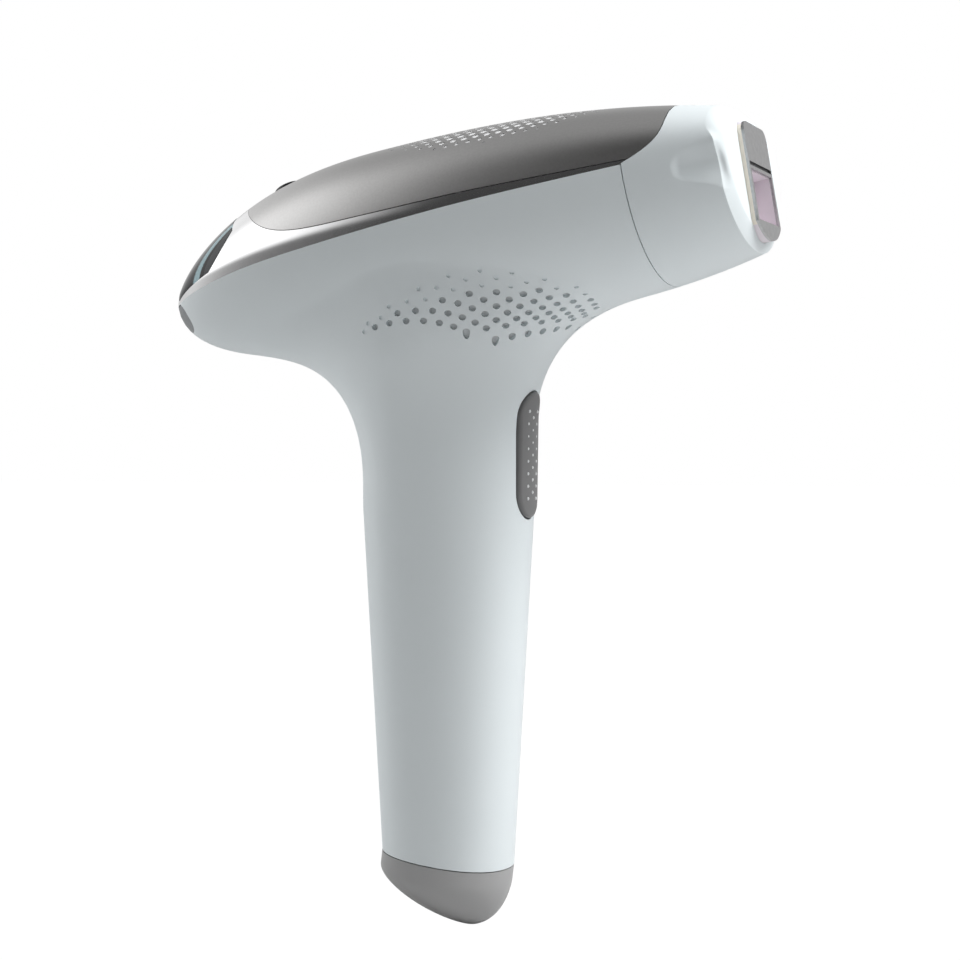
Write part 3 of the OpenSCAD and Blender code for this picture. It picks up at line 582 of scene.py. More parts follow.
WHITE = plastic("white_plastic", (0.765, 0.822, 0.842), (0.785, 0.842, 0.862))
PEARL = metal("grey_pearl", (0.62, 0.615, 0.61), (0.66, 0.655, 0.65), (0.28, 0.34), 1800.0, 0.05)
CHROME = metal("silver_trim", (0.92, 0.92, 0.925), (0.94, 0.94, 0.945), (0.08, 0.12))
# Pale sheet seen through the cover's holes: painted highlight for the bright dots
PAINTED_HOLE_LIGHT = plastic("painted_hole_light", (0.86, 0.87, 0.88), (0.9, 0.91, 0.92))
DOT = plastic("pale_dots", (0.74, 0.75, 0.76), (0.78, 0.79, 0.80))
PANEL_DARK = (0.012, 0.014, 0.016)
PANEL_STRIPE = (0.42, 0.60, 0.65)
PANEL_EDGE = (0.006, 0.008, 0.01)
PANEL_RIM = (0.06, 0.066, 0.07)
DISPLAY = by_distance(glass("display_glass", (0.012, 0.016, 0.02), (0.02, 0.03, 0.035), (0.02, 0.05)), 16.0, [
    (0.0, PANEL_DARK), (0.8, PANEL_DARK), (0.825, PANEL_STRIPE), (0.885, PANEL_STRIPE),
    (0.895, PANEL_EDGE), (0.935, PANEL_EDGE), (0.94, PANEL_RIM),
])
BLACK = plastic("black_gloss", (0.012, 0.012, 0.014), (0.02, 0.02, 0.022), (0.12, 0.2), 900.0, 0.0)
GREY = plastic("grey_plastic", (0.36, 0.36, 0.362), (0.40, 0.40, 0.402), (0.3, 0.38), 2200.0)
TRIGGER_GREY = plastic("trigger_grey", (0.17, 0.17, 0.172), (0.2, 0.2, 0.202), (0.3, 0.38), 2200.0)
# Grey of the sheet behind the vents: painted shade for the vent floors
VENT_PAINTED_SHADE = plastic("vent_painted_shade", (0.60, 0.62, 0.63), (0.65, 0.67, 0.68))
DARK = plastic("dark_plastic", (0.02, 0.02, 0.022), (0.035, 0.035, 0.038))
BOARD = plastic("circuit_board", (0.01, 0.09, 0.045), (0.02, 0.13, 0.06), (0.3, 0.4), 500.0)
STEEL = metal("steel", (0.5, 0.5, 0.51), (0.58, 0.58, 0.59), (0.25, 0.35))
ALUMINIUM = metal("aluminium", (0.62, 0.63, 0.64), (0.7, 0.71, 0.72), (0.3, 0.4))
BRASS = metal("brass", (0.6, 0.45, 0.16), (0.68, 0.52, 0.2), (0.2, 0.3))
WINDING = plastic("winding", (0.35, 0.17, 0.04), (0.45, 0.24, 0.06), (0.3, 0.4), 700.0)
SLEEVE = plastic("capacitor_sleeve", (0.01, 0.012, 0.03), (0.018, 0.02, 0.045), (0.25, 0.35), 600.0)
LEAD = plastic("lead_red", (0.32, 0.015, 0.01), (0.4, 0.025, 0.015))
WINDOW_LILAC = (0.78, 0.72, 0.77)
NOSE_IVORY = (0.87, 0.81, 0.71)
IVORY = by_distance(plastic("ivory_plastic", (0.86, 0.80, 0.70), (0.89, 0.83, 0.73)), 9.4, [
    (0.0, WINDOW_LILAC), (0.945, WINDOW_LILAC), (0.975, NOSE_IVORY),
])
LENS = plastic("smoke_lens", (0.26, 0.275, 0.285), (0.29, 0.305, 0.315), (0.32, 0.4), 400.0, 0.0)
FILTER = glass("filter_glass", (0.60, 0.53, 0.58), (0.66, 0.59, 0.64), (0.04, 0.08))
MIRROR = metal("mirror", (0.86, 0.87, 0.88), (0.9, 0.91, 0.92), (0.04, 0.08))
QUARTZ = glass("quartz", (0.9, 0.93, 0.97), (0.95, 0.97, 1.0), (0.02, 0.04), 0.9)
PLATE = metal("brushed_plate", (0.48, 0.48, 0.485), (0.56, 0.56, 0.565), (0.28, 0.36), 900.0, 0.1)

DISPLAY.node_tree.nodes["Principled BSDF"].inputs["Specular IOR Level"].default_value = 0.2

NODE_LOOKS = {
    WHITE: ["cartridge_body"],
    IVORY: ["window_frame"],
    PLATE: ["contact_plate"],
    FILTER: ["filter_glass"],
    MIRROR: ["reflector"],
    QUARTZ: ["flash_tube"],
    STEEL: ["tube_electrodes", "trigger_spring", "shell_screws"],
    BRASS: ["cartridge_pins", "socket_contacts", "inlet_pin"],
    DARK: [
        "skin_sensor", "inlet_body", "switch_plunger", "trigger_switch", "power_switch", "power_chips",
        "chassis", "fan_frame", "fan_rotor", "lamp_socket",
    ],
    BOARD: ["control_board", "tail_light_board", "switch_board", "main_board"],
    GREY: ["power_plunger"],
    VENT_PAINTED_SHADE: ["vent_screens"],
    SLEEVE: ["capacitor"],
    # The vent screens take the same painted shade grey
    WINDING: ["transformer", "choke"],
    ALUMINIUM: ["heatsink"],
    LEAD: ["lead_bundle"],
    DISPLAY: ["display_panel"],
    LENS: ["tail_lens"],
}
for look, names in NODE_LOOKS.items():
    for node_name in names:
        node_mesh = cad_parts[node_name].data
        node_mesh.materials.clear()
        node_mesh.materials.append(look)


# Vent field: rings of vents round an upright axis, with small blind dimples above

VENT_X = 8.0
VENT_R = 0.85
VENT_SMALL = 0.55
VENT_DIMPLE = 0.36
VENT_SQUASH = 0.85
VENT_SIDES = 20
VENT_RINGS = 10
VENT_FULL_RINGS = 7
VENT_FRONT_STEPS = 4
VENT_REAR_STEPS = (2, 6)
VENT_LEAST_TURN = 4.0
VENT_MID = 51.2
VENT_TURN = 10.5
VENT_TURN_GROWTH = 0.3
VENT_STRETCH = 1.18
VENT_LOW_Z = 141.0
VENT_Z = 142.1
VENT_FALL = 0.064
VENT_STEP = 1.08
VENT_SWELL = 0.56
VENT_SWELL_RATE = 2.25
VENT_CREST = 75.0
VENT_CREST_HALF = 33.0
VENT_END = 106.0
VENT_END_PULL = 0.0075
VENT_PAST_WALL = 0.6
VENT_OUT = 2.0
TEAR_LONG = 1.2
TEAR_SHORT = 0.5
TEAR_TURN = 55.0
TEAR_TURN_STEP = 18.0
# The lattice lies on a fuller body; this is the way its places move in to the real one
VENT_AIM = math.radians(22)
VENT_FAR = 40.0
VENT_AIM_FAR = 12.0


def vent_places():
    places = []
    for k in range(VENT_RINGS):
        last = 1 if k == 0 else min(k / 2 + VENT_REAR_STEPS[0], VENT_REAR_STEPS[1])
        for c in np.arange((k % 2) / 2 - VENT_FRONT_STEPS, last + 0.1):
            t = math.radians(VENT_MID + (VENT_TURN + VENT_TURN_GROWTH * k) * c)
            th = math.degrees(math.atan2(math.sin(t), VENT_STRETCH * math.cos(t)))
            if th < VENT_LEAST_TURN * (1 + max(0, k - VENT_FULL_RINGS + 1)):
                continue
            swell = math.cos(math.radians(VENT_SWELL_RATE * (th - VENT_CREST)))
            z = (VENT_LOW_Z if k == 0 else VENT_Z) - VENT_FALL * th
            z += k * (VENT_STEP + VENT_SWELL * swell)
            off_crest = abs(th - VENT_CREST) > VENT_CREST_HALF
            full = k < VENT_FULL_RINGS or (k == VENT_FULL_RINGS and off_crest)
            drawn_in = th - VENT_END_PULL * max(0, th - VENT_END) ** 2
            places.append((k, drawn_in, z, VENT_R if full else VENT_SMALL))
    return places


# The lowest vents run out downward into drops, longest at the rear end of their rings
def vent_tear(k, th):
    if k < 2 and th > TEAR_TURN + TEAR_TURN_STEP * k:
        return TEAR_LONG
    return TEAR_SHORT if k == 0 else 0.0


def vent_outline(r, tear):
    pts = []
    for across, up in circle(1.0, VENT_SIDES):
        tall = VENT_SQUASH * r + (tear * r if up < 0 else 0)
        pts.append((r * across, tall * up))
    return pts


def vent_cutters(side):
    aim = np.array([-math.sin(VENT_AIM), -side * math.cos(VENT_AIM), 0])
    parts = []
    for k, th, z, r in vent_places():
        a = math.radians(th)
        ray = np.array([math.cos(a), side * math.sin(a), 0])
        axis = np.array([VENT_X, 0, z])
        place = axis + bisect(lambda m: body_distance(axis + m * ray, fade=0.0) < 0, VENT_FAR, ()) * ray
        place = place + bisect(lambda m: body_distance(place + m * aim) > 0, VENT_AIM_FAR, ()) * aim
        out = body_normal(place)
        right = np.cross((0, 0, 1), out)
        right /= np.linalg.norm(right)
        up = np.cross(out, right)
        deep = VENT_DIMPLE if r == VENT_SMALL else WALL + VENT_PAST_WALL
        outline = vent_outline(r, vent_tear(k, th))
        parts.append(prism(outline, place - deep * out, place + VENT_OUT * out, right, up))
    return parts


# Body halves

TRIGGER_LEN = 29.4
TRIGGER_W = 11.4
TRIGGER_Z = 111.0
TRIGGER_HOLE_X = (4.0, 34.0)
LENS_N = -3.2
LENS_SIZE = (18.4, 7.4)
LENS_R = 3.4
LENS_HOLE_OUT = 3.0
LENS_HOLE_DEEP = 13.0
# Rows of the skin: each band's top and its count, finest at the vents
SKIN_BANDS = ((112.0, 50), (138.0, 30), (158.0, 110), (HEAD_Z, 16))
SKIN_COLS = 120


def trigger_hole():
    outline = capsule_outline(TRIGGER_LEN + 2 * MOVE_GAP, TRIGGER_W + 2 * MOVE_GAP)
    start, end = ((x, 0, TRIGGER_Z) for x in TRIGGER_HOLE_X)
    return prism(outline, start, end, (0, 1, 0), (0, 0, 1))


# Rounded opening of the tail lens, along the head axis
def lens_hole():
    outline = rounded_outline(LENS_SIZE[0] + 2 * FIT, LENS_SIZE[1] + 2 * FIT, LENS_R, 10)
    n = LENS_N + spine(TAIL_S + 2)
    start = np.array([0, 0, HEAD_Z]) + (TAIL_S - LENS_HOLE_OUT) * HEAD_RIGHT + n * HEAD_UP
    return prism(outline, start, start + LENS_HOLE_DEEP * HEAD_RIGHT, ACROSS, HEAD_UP)


def skin_heights():
    heights = [CAP_Z]
    for top, count in SKIN_BANDS:
        heights.extend(np.linspace(heights[-1], top, count)[1:])
    return heights


def body_half(name, side, node):
    outer, inner = (skin_grid(skin_heights(), inset, side, SKIN_COLS) for inset in (0, WALL))
    obj = mesh_object(name, skin_part(outer, inner, flip=side < 0), WHITE)
    cut(obj, vent_cutters(side))
    cut(obj, [trigger_hole()])
    cut(obj, [lens_hole()])
    true_normals(obj, on_body, body_normal)
    settle(obj, "body", "white_plastic", node)


body_half("body_right", -1, "right_shell")
body_half("body_left", 1, "left_shell")


# Grey sheet set inside the wall behind the vents; its grey is painted shade that darkens the floors of the
# vents

LINER_DEPTH = (0.95, 1.35)
LINER_Z = (HEAD_Z - 32, HEAD_Z - 7)
LINER_ROWS = 40
LINER_COLS = 60
LINER_TURN = 0.8


def vent_shade_sheet():
    heights = np.linspace(*LINER_Z, LINER_ROWS)
    parts = []
    for side in (-1, 1):
        front, back = (skin_grid(heights, d, side, LINER_COLS, 0.0, LINER_TURN) for d in LINER_DEPTH)
        parts.append(skin_part(front, back, flip=side < 0))
    return mesh_object("vent_shade_sheet", merged(parts), VENT_PAINTED_SHADE, 60)


settle(vent_shade_sheet(), "body", "grey_plastic", "vent_screens")


# Top cover with its field of holes, over a pale sheet whose bright dots in the holes are painted highlights

EDGE_LOW = (5.2, 2.6)
EDGE_S = (12.0, 52.0)
EDGE_FALL = 4.4
EDGE_RUN = 30.0
EDGE_POWER = 0.82
EDGE_GAP = 0.5
TONGUE_BACK = 0.6
TONGUE_LEN = 11.0
TONGUE_TURN = 9.5
ROW_POWER = 1.5
COVER_GRID = (180, 110)
FIELD_LINER_GRID = (90, 60)
FIELD_S = 20.0
FIELD_HALF = (32.0, 24.0)
FIELD_PITCH = (2.8, 2.4)
FIELD_COUNT = (12, 10)
FIELD_R = 0.95
FIELD_EDGE_SHARE = 0.35
FIELD_GROWTH = 3.0
HOLE_REACH = 4.0
FIELD_LINER_DEPTH = (0.15, 0.6)
BUTTON_SIZE = (7.0, 11.0)
BUTTON_S = -39.0
BUTTON_R = 3.4
BUTTON_HOLE_R = 3.7
BUTTON_HOLE_REACH = 6.0
BUTTON_LEAN_STEP = 3.0


# Angle of the cover's edge on the right side
def cover_edge(s):
    low = EDGE_LOW[0] + (EDGE_LOW[1] - EDGE_LOW[0]) * np.clip((s - EDGE_S[0]) / (EDGE_S[1] - EDGE_S[0]), 0, 1)
    return low + (90 - low) * np.exp(-EDGE_FALL * (np.maximum(0, s - COVER_S) / EDGE_RUN) ** EDGE_POWER)


# Front edge of the cover, which reaches over the lamp head at the ridge
def tongue(phi):
    return PARTING_S - TONGUE_BACK + TONGUE_LEN * (1 - np.exp(-np.minimum(phi, 180 - phi) / TONGUE_TURN))


def deck_point(s, phi, depth):
    share = np.clip((s - COVER_FROM) / (PARTING_S - COVER_FROM), 0, 1) ** 2
    return head_point(s + (tongue(phi) - PARTING_S) * share, phi, depth)


def cover_grid(depth, rows, cols):
    f = np.linspace(0, 1, rows)[:, None]
    s = COVER_FROM + (PARTING_S - COVER_FROM) * f**ROW_POWER
    half = 90 - cover_edge(s)
    phi = 90 + half * (2 * np.linspace(0, 1, cols)[None, :] - 1)
    return deck_point(np.repeat(s, cols, 1), phi, depth)


# Place of the power button on the ridge, with its two directions
def button_frame():
    def top(s):
        return float(crown(np.array(s)) + spine(np.array(s)))

    rise = top(BUTTON_S + BUTTON_LEAN_STEP) - top(BUTTON_S - BUTTON_LEAN_STEP)
    turn = -(TILT + math.atan(rise / (2 * BUTTON_LEAN_STEP)))
    place = head_xyz(np.array(BUTTON_S), 0.0, crown(np.array(BUTTON_S)))
    along = np.array([math.cos(turn), 0, -math.sin(turn)])
    up = np.array([math.sin(turn), 0, math.cos(turn)])
    return place, along, up


def button_outline(grow, r):
    return rounded_outline(BUTTON_SIZE[0] + 2 * grow, BUTTON_SIZE[1] + 2 * grow, r, 12)


def button_hole():
    outline = button_outline(MOVE_GAP, BUTTON_HOLE_R)
    arm = BUTTON_HOLE_REACH * button_up
    return prism(outline, button_at - arm, button_at + arm, button_along, ACROSS)


def cover_holes():
    parts = []
    for i in range(-FIELD_COUNT[0], FIELD_COUNT[0] + 1):
        for j in range(-FIELD_COUNT[1], FIELD_COUNT[1] + 1):
            ds = FIELD_PITCH[0] * (i + 0.5 * (j % 2))
            arc = FIELD_PITCH[1] * j
            far = math.hypot(ds / FIELD_HALF[0], arc / FIELD_HALF[1])
            if far > 1:
                continue
            s = np.array(FIELD_S + ds)
            phi = np.array(math.degrees(math.radians(90) - arc / float(half_width(s))))
            base, tip = (head_point(s, phi, depth) for depth in (HOLE_REACH, -HOLE_REACH))
            r = FIELD_R * min(1, FIELD_EDGE_SHARE + FIELD_GROWTH * (1 - far))
            across = np.cross((tip - base) / np.linalg.norm(tip - base), HEAD_RIGHT)
            parts.append(prism(circle(r, 12), base, tip, HEAD_RIGHT, across))
    return parts


button_at, button_along, button_up = button_frame()
cover_part = skin_part(*(cover_grid(depth, *COVER_GRID) for depth in (0.0, DECK_T)), flip=True)
cover = mesh_object("cover_skin", cover_part, PEARL)
cut(cover, cover_holes() + [button_hole()])
# A pale sheet inside the cover's thickness shows in every hole as a bright dot: painted highlight standing in
# for light seen through the holes
liner_part = skin_part(*(cover_grid(depth, *FIELD_LINER_GRID) for depth in FIELD_LINER_DEPTH), flip=True)
hole_light_sheet = mesh_object("hole_light_sheet", liner_part, PAINTED_HOLE_LIGHT, 35)
cut(hole_light_sheet, [button_hole()])
settle(hole_light_sheet, "body", "white_plastic")
true_normals(cover, on_head, head_normal)
settle(cover, "body", "grey_cover", "top_cover")


# Chrome trim between body and cover; it laps a little over the body along the rear half

TRIM_LOW = -1.9
TRIM_LIFT = 0.05
TRIM_TAIL = 0.35
TRIM_REAR_POWER = 1.4
LAP_S = -24.0
LAP_RUN = 26.0


def trim_grid(depth, side, rows=220, cols=28):
    tail = TAIL_S + TRIM_TAIL
    rear = tail + (COVER_S - tail) * np.linspace(0, 1, rows // 4) ** TRIM_REAR_POWER
    front = COVER_FROM + (PARTING_S - COVER_FROM) * np.linspace(0, 1, rows - rows // 4) ** ROW_POWER
    s = np.concatenate([rear, front])[:, None]
    top = np.where(s <= COVER_S, 90.0, cover_edge(s) - EDGE_GAP)
    lap = np.exp(-(((s - LAP_S) / LAP_RUN) ** 2))
    low = TRIM_LOW * lap
    phi = low + (top - low) * np.linspace(0, 1, cols)[None, :]
    lift = TRIM_LIFT * lap * smooth01(1 - phi)
    p = deck_point(np.repeat(s, cols, 1), phi, depth - lift)
    p[..., 1] *= -side
    return p


def silver_trim():
    sides = [skin_part(trim_grid(0.0, side), trim_grid(DECK_T, side), flip=side < 0) for side in (-1, 1)]
    obj = mesh_object("silver_trim", merged(sides), CHROME, 40)
    true_normals(obj, on_head, head_normal)
    return obj


settle(silver_trim(), "body", "chrome", "chrome_trim")


# Display visor; its front edge is an arc up each side and a straight run over the ridge

VISOR_LOW = 8.0
VISOR_BEND = 37.0
VISOR_ARC = (-57.5, 33.8, -28.8)
VISOR_RIDGE = (-49.3, -3.2)
VISOR_EDGE = 9.0
VISOR_REAR_S = TAIL_S + 3.4
VISOR_DEPTH = (-0.08, 0.85)


def display_front(phi):
    p = np.minimum(phi, 180 - phi)
    x = (p - VISOR_LOW) / (90 - VISOR_LOW)
    arc = VISOR_ARC[0] + VISOR_ARC[1] * x + VISOR_ARC[2] * x * x
    ridge = VISOR_RIDGE[0] + VISOR_RIDGE[1] * (p - VISOR_BEND) / (90 - VISOR_BEND)
    return np.where(p < VISOR_BEND, arc, ridge)


def display_grid(depth, rows=140, cols=30):
    phi = np.linspace(VISOR_EDGE, 180 - VISOR_EDGE, rows)[:, None]
    f = np.linspace(0, 1, cols)[None, :]
    s = VISOR_REAR_S + (display_front(phi) - VISOR_REAR_S) * f
    return head_point(s, np.repeat(phi, cols, 1), depth)


visor = mesh_object("display_visor", skin_part(*(display_grid(d) for d in VISOR_DEPTH)), DISPLAY, 40)
settle(visor, "body", "display_glass", "display_glass")


# Power button with a thin ring; profiles are pairs of an inset or a growth, and a height

BUTTON_DOME = ((0, -3.3), (0, 0.25), (0.15, 0.5), (0.45, 0.68), (1.0, 0.8), (2.0, 0.86), (3, 0.88))
BUTTON_LEAST_R = 0.3
RING_PROFILE = ((0.42, -1.2), (0.42, 0.1), (0.55, 0.24), (0.85, 0.24), (1.05, 0.1), (1.05, -1.2))
RING_SEARCH = 4.0


def button_point(u, v, h):
    return button_at + u * button_along + v * ACROSS + h * button_up


def button_rings():
    rings = []
    for inset, h in BUTTON_DOME:
        outline = button_outline(-inset, max(BUTTON_LEAST_R, BUTTON_R - inset))
        rings.append([button_point(u, v, h) for u, v in outline])
    return np.array(rings)


# The ring follows the head's curve under it
def ring_point(u, v, h):
    flat = button_point(u, v, 0.0)

    def above(m):
        return head_distance(flat - (m - RING_SEARCH) * button_up) > 0

    dip = bisect(above, 2 * RING_SEARCH, ()) - RING_SEARCH
    return flat - (dip - h) * button_up


def ring_part():
    rings = []
    for grow, h in RING_PROFILE:
        rings.append([ring_point(u, v, h) for u, v in button_outline(grow, BUTTON_R + grow)])
    points = np.array(rings)
    rows, cols = points.shape[:2]
    faces = []
    for i in range(rows):
        a, b = i * cols, (i + 1) % rows * cols
        for j in range(cols):
            k = (j + 1) % cols
            faces.append((a + j, b + j, b + k, a + k))
    return points.reshape(-1, 3).tolist(), faces


button_cap = mesh_object("button_cap", lidded_part(button_rings()), BLACK, 40)
settle(button_cap, "power_button", "button_black", "power_button")
settle(mesh_object("button_ring", ring_part(), CHROME, 50), "body", "chrome")


# Lamp head with finger scoops

LAMP_WALL = 2.4
LAMP_FACE_T = 2.2
PARTING_GAP = 0.22
FINE_TURN = 0.25
COARSE_TURN = 1.5
# Bevel round the lit face: length, depth and flat share at the top, then at the sides and below
BEVEL_TOP = (3.4, 2.6, 0.1)
BEVEL_LOW = (1.8, 3.2, 0.8)
BEVEL_TURN = (0.05, 0.4)
LAMP_ROWS = 70
BEVEL_ROWS = 22
LEDGE_S = 62.7
LEDGE_N = -6.04
LEDGE_N_S = 64.0
LEDGE_SLOPE = 0.305
LEDGE_BEND_S = 69.0
LEDGE_BEND = 0.048
LEDGE_SOFT = 1.2
LEDGE_SET_BACK = 0.9
SCOOP_HALF = 2.8
SCOOP_WIDEN = 0.3
SCOOP_WIDEN_FROM = 1.0
SCOOP_LEAN = 0.25
SCOOP_LEAN_FROM = 3.0
SCOOP_FADE = 1.1
SCOOP_DEEP = 0.75
SCOOP_RUN = 1.8
SCOOP_DEEPEN = 0.1
SCOOP_DEEPEN_FROM = 0.8
SCOOP_SIDE_Y = 18.0
SCOOP_SIDE_RUN = 4.0


# Columns crowd at the scoops on both sides
def lamp_columns():
    stops = ((-42, FINE_TURN), (22, COARSE_TURN), (158, FINE_TURN), (222, COARSE_TURN), (318, None))
    bands = [np.arange(start, end, step) for (start, step), (end, _) in zip(stops, stops[1:])]
    return np.concatenate(bands)


# Dish in each side of the lamp head: it starts at a crisp ledge and opens toward the lit face
def scoop_depth(s, n):
    run = s - LEDGE_S
    ledge = LEDGE_N - LEDGE_SLOPE * (s - LEDGE_N_S) - LEDGE_BEND * np.maximum(0, s - LEDGE_BEND_S) ** 2
    d = n - ledge
    half = SCOOP_HALF + SCOOP_WIDEN * np.maximum(0, run - SCOOP_WIDEN_FROM)
    rise = np.sin(math.pi / 2 * np.clip(d / half, 0, 1))
    fade = 1 - smooth01((d - half) / (SCOOP_FADE * half))
    set_back = LEDGE_SET_BACK * smooth01((LEDGE_SOFT - d) / LEDGE_SOFT)
    run = np.maximum(0, run - set_back - SCOOP_LEAN * np.maximum(0, d - SCOOP_LEAN_FROM))
    deep = SCOOP_DEEP * smooth01(run / SCOOP_RUN) + SCOOP_DEEPEN * np.maximum(0, run - SCOOP_DEEPEN_FROM)
    return deep * rise * fade


def lamp_start(phi):
    wrapped = np.mod(phi, 360)
    upper = np.maximum(PARTING_S, tongue(wrapped))
    return np.where((wrapped > 0) & (wrapped < 180), upper, PARTING_S) + PARTING_GAP


def lamp_grid(depth, back, scoop):
    phi = lamp_columns()[None, :]
    start = lamp_start(phi)
    top = smooth01((np.sin(np.radians(phi)) - BEVEL_TURN[0]) / (BEVEL_TURN[1] - BEVEL_TURN[0]))
    length, deep, flat_share = (low + (high - low) * top for low, high in zip(BEVEL_LOW, BEVEL_TOP))
    bevel_s = FACE_S - length - back
    s = start + (bevel_s - start) * np.linspace(0, 1, LAMP_ROWS)[:, None]
    a = np.sin(np.radians(np.linspace(3, 90, BEVEL_ROWS)))[:, None]
    s_all = np.concatenate([s, bevel_s + length * a])
    bevel = deep * (flat_share * a + (1 - flat_share) * (1 - np.sqrt(1 - a * a)))
    inset = np.concatenate([np.zeros_like(s), bevel])
    phis = np.repeat(phi, len(s_all), 0)
    if scoop:
        flat = head_point(s_all, phis)
        side = np.clip((np.abs(flat[..., 1]) - SCOOP_SIDE_Y) / SCOOP_SIDE_RUN, 0, 1)
        at_face = smooth01((s_all - (FACE_S - length)) / length)
        inset = inset + scoop_depth(s_all, head_coords(flat)[1]) * side * (1 - at_face)
    return head_point(s_all, phis, depth + inset)


# Nose opening: rounded corners at the top, one wide arc below
NOSE_RY = 10.0
NOSE_N = (7.0, -19.4)
NOSE_CORNER = 3.0
NOSE_R = 15.5
NOSE_HOLE_BACK = 6.0
NOSE_HOLE_LEN = 10.0


def nose_outline(steps=40):
    half = math.asin(NOSE_RY / NOSE_R)
    centre = NOSE_N[1] + NOSE_R
    pts = []
    for turn, side in ((0, 1), (math.pi / 2, -1)):
        for a in np.linspace(turn, turn + math.pi / 2, 12):
            across = side * (NOSE_RY - NOSE_CORNER) + NOSE_CORNER * math.cos(a)
            pts.append((across, NOSE_N[0] - NOSE_CORNER + NOSE_CORNER * math.sin(a)))
    for a in np.linspace(-half, half, steps):
        pts.append((NOSE_R * math.sin(a), centre - NOSE_R * math.cos(a)))
    return pts


def nose_hole():
    start = head_xyz(np.array(FACE_S - NOSE_HOLE_BACK), 0.0, 0.0)
    return prism(nose_outline(), start, start + NOSE_HOLE_LEN * HEAD_RIGHT, ACROSS, HEAD_UP)


lamp_outer = lamp_grid(0.0, 0.0, True)
lamp_inner = lamp_grid(LAMP_WALL, LAMP_FACE_T, False)
lamp = mesh_object("lamp_head", skin_part(lamp_outer, lamp_inner, ring=True, cap=True, flip=True), WHITE)
cut(lamp, [nose_hole()])
shade(lamp, 38)
settle(lamp, "cartridge", "white_plastic", "lamp_head_shell")


# Lip of the body that closes the underside up to the parting

LIP_S = (PARTING_S - 5, PARTING_S - 0.02)
LIP_TURN = (200, 340)
LIP_DEPTH = (0.03, 1.2)


def lip_grid(depth):
    s, phi = np.meshgrid(np.linspace(*LIP_S, 12), np.linspace(*LIP_TURN, 90), indexing="ij")
    return head_point(s, phi, depth)


lip = mesh_object("parting_lip", skin_part(*(lip_grid(d) for d in LIP_DEPTH), flip=True), WHITE, 60)
settle(lip, "body", "white_plastic")


# Trigger with a dotted grip

TRIGGER_OUT = 0.8
TRIGGER_ROOT = -3.4
TRIGGER_STEP = 0.1
TRIGGER_ROUND = 0.7
TRIGGER_INSETS = (1.4, 2.4, 3.6, 4.8, 5.6)
FRONT_FAR = 60.0
DOT_PITCH = 2.9
DOT_SIDE = 2.5
DOT_R = 0.42
DOT_EDGE = 3.2
DOT_SIDE_EDGE = 0.35
DOT_STEPS = 14
DOT_ROWS = 8
# Height and share of the radius of each ring of a dot
DOT_PROFILE = ((-0.1, 1), (0.05, 0.95), (0.18, 0.75), (0.26, 0.4))


def front_x(y, z):
    y, z = np.broadcast_arrays(np.asarray(y, float), np.asarray(z, float))
    return bisect(lambda m: body_distance(np.stack([m, y, z], -1)) < 0, FRONT_FAR, z.shape)


# Inset and height of each ring of the pad, with a rounded edge
def trigger_levels():
    levels = [(0, TRIGGER_ROOT), (0, TRIGGER_STEP)]
    for a in np.linspace(0.2, math.pi / 2, 6):
        levels.append((TRIGGER_ROUND * (1 - math.cos(a)), TRIGGER_STEP + TRIGGER_ROUND * math.sin(a)))
    levels += [(inset, TRIGGER_OUT) for inset in TRIGGER_INSETS]
    return levels


def trigger_rings(steps=40):
    r = TRIGGER_W / 2
    half = TRIGGER_LEN / 2 - r
    a = np.concatenate([np.linspace(0, math.pi, steps), np.linspace(math.pi, 2 * math.pi, steps)])
    shift = np.concatenate([np.full(steps, half), np.full(steps, -half)])
    rings = []
    for inset, out in trigger_levels():
        y = (r - inset) * np.cos(a)
        z = TRIGGER_Z + shift + (r - inset) * np.sin(a)
        rings.append(np.stack([front_x(y, z) + out, y, z], -1))
    return np.array(rings)


def trigger_dots():
    parts = []
    for i in range(-DOT_ROWS, DOT_ROWS + 1):
        for j in (-1, 0, 1):
            y = j * DOT_SIDE
            rise = i * DOT_PITCH / 2
            past_edge = abs(rise) > TRIGGER_LEN / 2 - DOT_EDGE - DOT_SIDE_EDGE * abs(y)
            if (i + j) % 2 or past_edge:
                continue
            z = TRIGGER_Z + rise
            x = float(front_x(y, z)) + TRIGGER_OUT
            rings = []
            for h, share in DOT_PROFILE:
                rings.append([(x + h, y + u, z + v) for u, v in circle(DOT_R * share, DOT_STEPS)])
            parts.append(lidded_part(np.array(rings)))
    return mesh_object("trigger_dots", merged(parts), DOT, 60)


trigger = mesh_object("trigger_pad", lidded_part(trigger_rings()), TRIGGER_GREY, 40)
settle(trigger, "trigger", "grey_plastic", "trigger_button")
settle(trigger_dots(), "trigger", "grey_plastic")


# End cap with the opening of the power inlet

CAP_H = 15.1
CAP_STEP = 3.7
CAP_SHIFT = 7.0
CAP_POWER = 1.6
CAP_GAP = 0.25
CAP_LEAST_R = 0.4
INLET_U = -9.0
INLET_D = 9.2
INLET_R = 4.85
INLET_LEAN = math.radians(36)
INLET_DEEP = 14.0
INLET_OUT = 6.0


def cap_xyz(u, y, d):
    u, y, d = np.broadcast_arrays(u, y, np.asarray(d, float))
    x = u * math.cos(CAP_TILT) + d * math.sin(CAP_TILT)
    z = CAP_Z + u * math.sin(CAP_TILT) - d * math.cos(CAP_TILT)
    return np.stack([x, y, z], -1)


def cap_depths(inset):
    run = CAP_H - inset - CAP_STEP
    head = np.linspace(CAP_GAP, CAP_STEP, 8)
    return np.concatenate([head, CAP_STEP + run * np.sin(np.radians(np.linspace(3, 88.5, 34)))])


